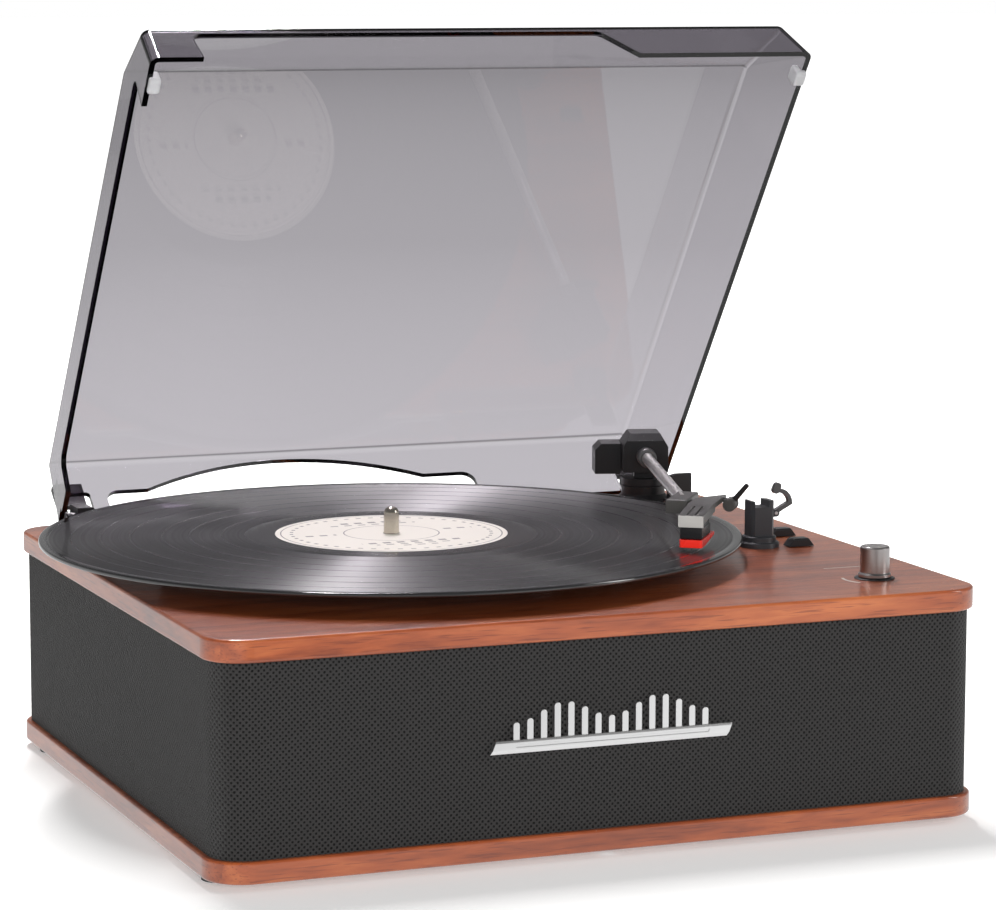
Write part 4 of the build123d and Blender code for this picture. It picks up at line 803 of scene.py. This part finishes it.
def makeBumpers(s):
    bm = mergedCopy("lid_bumpers", joined=True)
    for side in (-1, 1):
        own = [v for v in bm.verts if (v.co.x - cabinetMiddle.x * mm) * side > 0]
        slimmed(bm, own, s["size"], sum((v.co for v in own), Vector()) / len(own))
    roundEdges(bm, folds(bm, s["roundAbove"]), s["rounding"] * mm, segments=3)
    finishCopy(bm, "clearPads", clearRubber, "lid_bumpers", sharp=s["sharp"])


# hinge leaves, shorter than their solids, with the screws moved down to suit
leafLook = {"hinge": (0.0, 135.85, 102.9), "open": 53.84, "height": 27.5, "screwShift": -9.0}


def makeLeaves(s):
    up = Vector((0, math.sin(math.radians(s["open"])), math.cos(math.radians(s["open"]))))
    bm = mergedCopy("hinge_leaves", joined=True)
    bmesh.ops.bisect_plane(bm, geom=bm.verts[:] + bm.edges[:] + bm.faces[:],
                           plane_co=at(*s["hinge"]) + up * s["height"] * mm, plane_no=up, clear_outer=True)
    bmesh.ops.holes_fill(bm, edges=[e for e in bm.edges if e.is_boundary])
    finishCopy(bm, "leafPlates", blackPlastic, "hinge_leaves")
    bm = mergedCopy("hinge_screws")
    bmesh.ops.translate(bm, vec=up * s["screwShift"] * mm, verts=bm.verts)
    finishCopy(bm, "leafScrews", brightMetal, "hinge_screws")


# the headshell's nose is a paler plate: the faces that look ahead and lie well ahead of its middle
# the turn is from the arm's own line to the headshell's, in degrees
noseLook = {"turn": -18, "facing": 0.86, "ahead": 12.0}


def paintNose(piece, s):
    middle = sum((v.co for v in piece.data.vertices), Vector()) / len(piece.data.vertices)
    low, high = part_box("tonearm_tube")
    line = middle - (Vector(low) + Vector(high)) / 2
    ahead = Matrix.Rotation(math.radians(s["turn"]), 3, "Z") @ Vector((line.x, line.y, 0)).normalized()
    piece.data.materials.append(nosePaint)
    nose = [f for f in piece.data.polygons
            if f.normal.dot(ahead) > s["facing"] and (f.center - middle).dot(ahead) > s["ahead"] * mm]
    for f in nose:
        f.material_index = 1
    print("nose faces:", len(nose))


# badge bar: the CAD form with a shallow long field pressed into its front
badgeLook = {"border": 0.85, "ends": 0.83, "slope": 0.12, "press": 0.22, "facing": -0.99}


def makeBadgeBar(s):
    bm = mergedCopy("badge_bar", joined=True)
    front = [f for f in bm.faces if f.normal.y < s["facing"]]
    field = front[0]
    bmesh.ops.inset_region(bm, faces=front, thickness=s["border"] * mm, use_even_offset=True)
    slimmed(bm, field.verts, (s["ends"], 1, 1), field.calc_center_median())
    bmesh.ops.inset_region(bm, faces=front, thickness=s["slope"] * mm, use_even_offset=True)
    bmesh.ops.translate(bm, vec=(0, s["press"] * mm, 0), verts=field.verts)
    finishCopy(bm, "badgeRail", badgeMetal, "badge_bar", sharp=20)


# printed marks by the knob: a faint line behind it and a short arc at its left
# the line is its middle, length and width; the arc its two radii, its start and its sweep in degrees
markLook = {"level": 98.2, "thick": 0.04, "line": (132.6, -83.5, 17.0, 0.55),
            "arc": (12.7, 13.9, 158.0, 58.0), "arcSteps": 14}


def makeMarks(s):
    bm = bmesh.new()
    x, y, length, wide = s["line"]
    bmesh.ops.create_grid(bm, x_segments=1, y_segments=1, size=0.5)
    bmesh.ops.scale(bm, vec=(length * mm, wide * mm, 1), verts=bm.verts)
    bmesh.ops.translate(bm, vec=at(x, y, s["level"]), verts=bm.verts)
    inner, outer, start, sweep = s["arc"]
    centre = at(*knobLook["middle"], s["level"])
    out = Vector((math.cos(math.radians(start)), math.sin(math.radians(start)), 0))
    ends = [bm.verts.new(centre + out * r * mm) for r in (inner, outer)]
    bmesh.ops.spin(bm, geom=[*ends, bm.edges.new(ends)], cent=centre, axis=(0, 0, 1), dvec=(0, 0, 0),
                   angle=math.radians(sweep), steps=s["arcSteps"])
    bmesh.ops.recalc_face_normals(bm, faces=bm.faces)
    for f in bm.faces:
        if f.normal.z < 0:
            f.normal_flip()
    raised = bmesh.ops.extrude_face_region(bm, geom=bm.faces[:])
    tops = [v for v in raised["geom"] if isinstance(v, bmesh.types.BMVert)]
    bmesh.ops.translate(bm, vec=(0, 0, s["thick"] * mm), verts=tops)
    bmesh.ops.recalc_face_normals(bm, faces=bm.faces)
    finishPiece(bm, "printedMarks", paleInk, "root")


makeKnob(knobLook)
makeBumpers(padLook)
makeLeaves(leafLook)
paintNose(armShell, noseLook)
makeBadgeBar(badgeLook)
makeMarks(markLook)


# floor and the pale studio round it
# near and far: the floor's own light for the camera, with the distance
# behind: painted shade, the floor's glow for rays through the clear lid, darker with the distance
# gapAcross and gapAlong: painted reflection, white cards with a darker place between them, glowing in the
# floor only for polished faces in front
# ceiling and shiny: the world's tones from level to straight up, the second for polished faces
studio = {"size": 20, "floor": 0.80, "near": (0.06, 0.28), "far": (0.35, 1.0), "fade": 0.25,
          "behindFade": 0.1, "behind": [(0.0, 1.0), (0.1, 0.97), (0.3, 0.73), (1.0, 0.5)], "mirrored": 0.9,
          "gapAcross": [(0.2, 1.0), (0.4, 0.3), (0.54, 0.35), (0.63, 1.0)],
          "gapAlong": [(0.05, 0.0), (0.15, 1.0)], "gapMiddle": 0.5, "ambient": 0.5,
          "ceiling": [(0.30, 1.0), (0.62, 0.35)],
          "shiny": [(0.0, 1.0), (0.08, 0.9), (0.16, 0.52), (0.3, 0.38), (0.6, 0.2)]}


def makeFloor(s):
    bm = bmesh.new()
    bmesh.ops.create_grid(bm, x_segments=2, y_segments=2, size=s["size"])
    mesh = bpy.data.meshes.new("floor")
    bm.to_mesh(mesh)
    bm.free()
    floor = bpy.data.objects.new("floor", mesh)
    scene.collection.objects.link(floor)
    m = bpy.data.materials.new("paleFloor")
    m.use_nodes = True
    t = m.node_tree
    t.nodes.clear()
    spot = ownPlace(t)
    away = vectorMaths(t, "LENGTH", spot)
    paths = put(t, "ShaderNodeLightPath").outputs
    diffuse = put(t, "ShaderNodeBsdfDiffuse", {"Color": (s["floor"],) * 3 + (1,)})
    glow = put(t, "ShaderNodeEmission", {"Color": (1, 1, 1, 1)})
    lift = ramp(t, maths(t, "MULTIPLY", away, s["fade"]), [s["near"], s["far"]])
    t.links.new(maths(t, "MULTIPLY", paths["Is Camera Ray"], lift), glow.inputs["Strength"])
    direct = put(t, "ShaderNodeAddShader")
    t.links.new(diffuse.outputs[0], direct.inputs[0])
    t.links.new(glow.outputs[0], direct.inputs[1])
    where = split(t, spot)
    # painted reflection: for glossy rays the floor glows as white cards with a darker gap
    across = ramp(t, maths(t, "ADD", where["X"], s["gapMiddle"]), s["gapAcross"])
    along = ramp(t, maths(t, "ADD", where["Y"], s["gapMiddle"]), s["gapAlong"])
    paintedCardGlow = maths(t, "MULTIPLY", maths(t, "MAXIMUM", across, along), s["mirrored"])
    # painted shade and painted reflection: the floor's glow for rays through the lid and for polished faces
    paintedBackdropGlow = put(t, "ShaderNodeEmission")
    t.links.new(ramp(t, maths(t, "MULTIPLY", away, s["behindFade"]), s["behind"]), paintedBackdropGlow.inputs["Color"])
    t.links.new(maths(t, "MAXIMUM", paintedCardGlow, paths["Is Transmission Ray"]), paintedBackdropGlow.inputs["Strength"])
    seenThrough = maths(t, "MAXIMUM", paths["Is Glossy Ray"], paths["Is Transmission Ray"])
    either = mixedShader(t, seenThrough, direct.outputs[0], paintedBackdropGlow.outputs[0])
    t.links.new(either, put(t, "ShaderNodeOutputMaterial").inputs[0])
    mesh.materials.append(m)


def makeWorld(s):
    world = bpy.data.worlds.new("studio")
    scene.world = world
    world.use_nodes = True
    t = world.node_tree
    t.nodes.clear()
    up = split(t, put(t, "ShaderNodeTexCoord").outputs["Generated"])["Z"]
    paths = put(t, "ShaderNodeLightPath").outputs
    tone = mixed(t, paths["Is Glossy Ray"], ramp(t, up, s["ceiling"]), ramp(t, up, s["shiny"]))
    level = mixed(t, paths["Is Camera Ray"], s["ambient"], 1.0, "FLOAT")
    sky = put(t, "ShaderNodeBackground")
    t.links.new(tone, sky.inputs["Color"])
    t.links.new(level, sky.inputs["Strength"])
    t.links.new(sky.outputs[0], put(t, "ShaderNodeOutputWorld").inputs[0])


# lamps, in metres and watts: a strip high behind, which the grooves and the lid mirror, a small card at the
# right, and a broad card in front that polished faces don't show; along is the way the long side runs
lamps = {"overheadBox": {"place": (0.10, 0.9, 1.7), "target": (-0.02, 0, 0.1), "size": (0.15, 1.3),
                         "power": 50, "along": (0.515, 0.857, 0), "mirrored": True},
         "rightBox": {"place": (1.5, -1.0, 0.9), "target": (0, 0, 0.1), "size": (0.3, 1.1), "power": 7,
                      "along": (0, 0, 1), "mirrored": True},
         "frontBox": {"place": (-0.9, -2.2, 0.5), "target": (0, 0, 0.1), "size": (1.4, 0.8), "power": 50,
                      "along": (0, 0, 1), "mirrored": False}}
lampColour = (1.0, 0.99, 0.98)


def makeLamp(name, s):
    data = bpy.data.lights.new(name, "AREA")
    data.shape = "RECTANGLE"
    data.size, data.size_y = s["size"]
    data.energy = s["power"]
    data.color = lampColour
    light = bpy.data.objects.new(name, data)
    scene.collection.objects.link(light)
    light.location = s["place"]
    light.rotation_mode = "QUATERNION"
    back = (Vector(s["place"]) - Vector(s["target"])).normalized()
    along = Vector(s["along"])
    long = (along - back * back.dot(along)).normalized()
    light.rotation_quaternion = Matrix((long.cross(back), long, back)).transposed().to_quaternion()
    light.visible_glossy = s["mirrored"]


makeFloor(studio)
makeWorld(studio)
for name, settings in lamps.items():
    makeLamp(name, settings)
print("studio done")
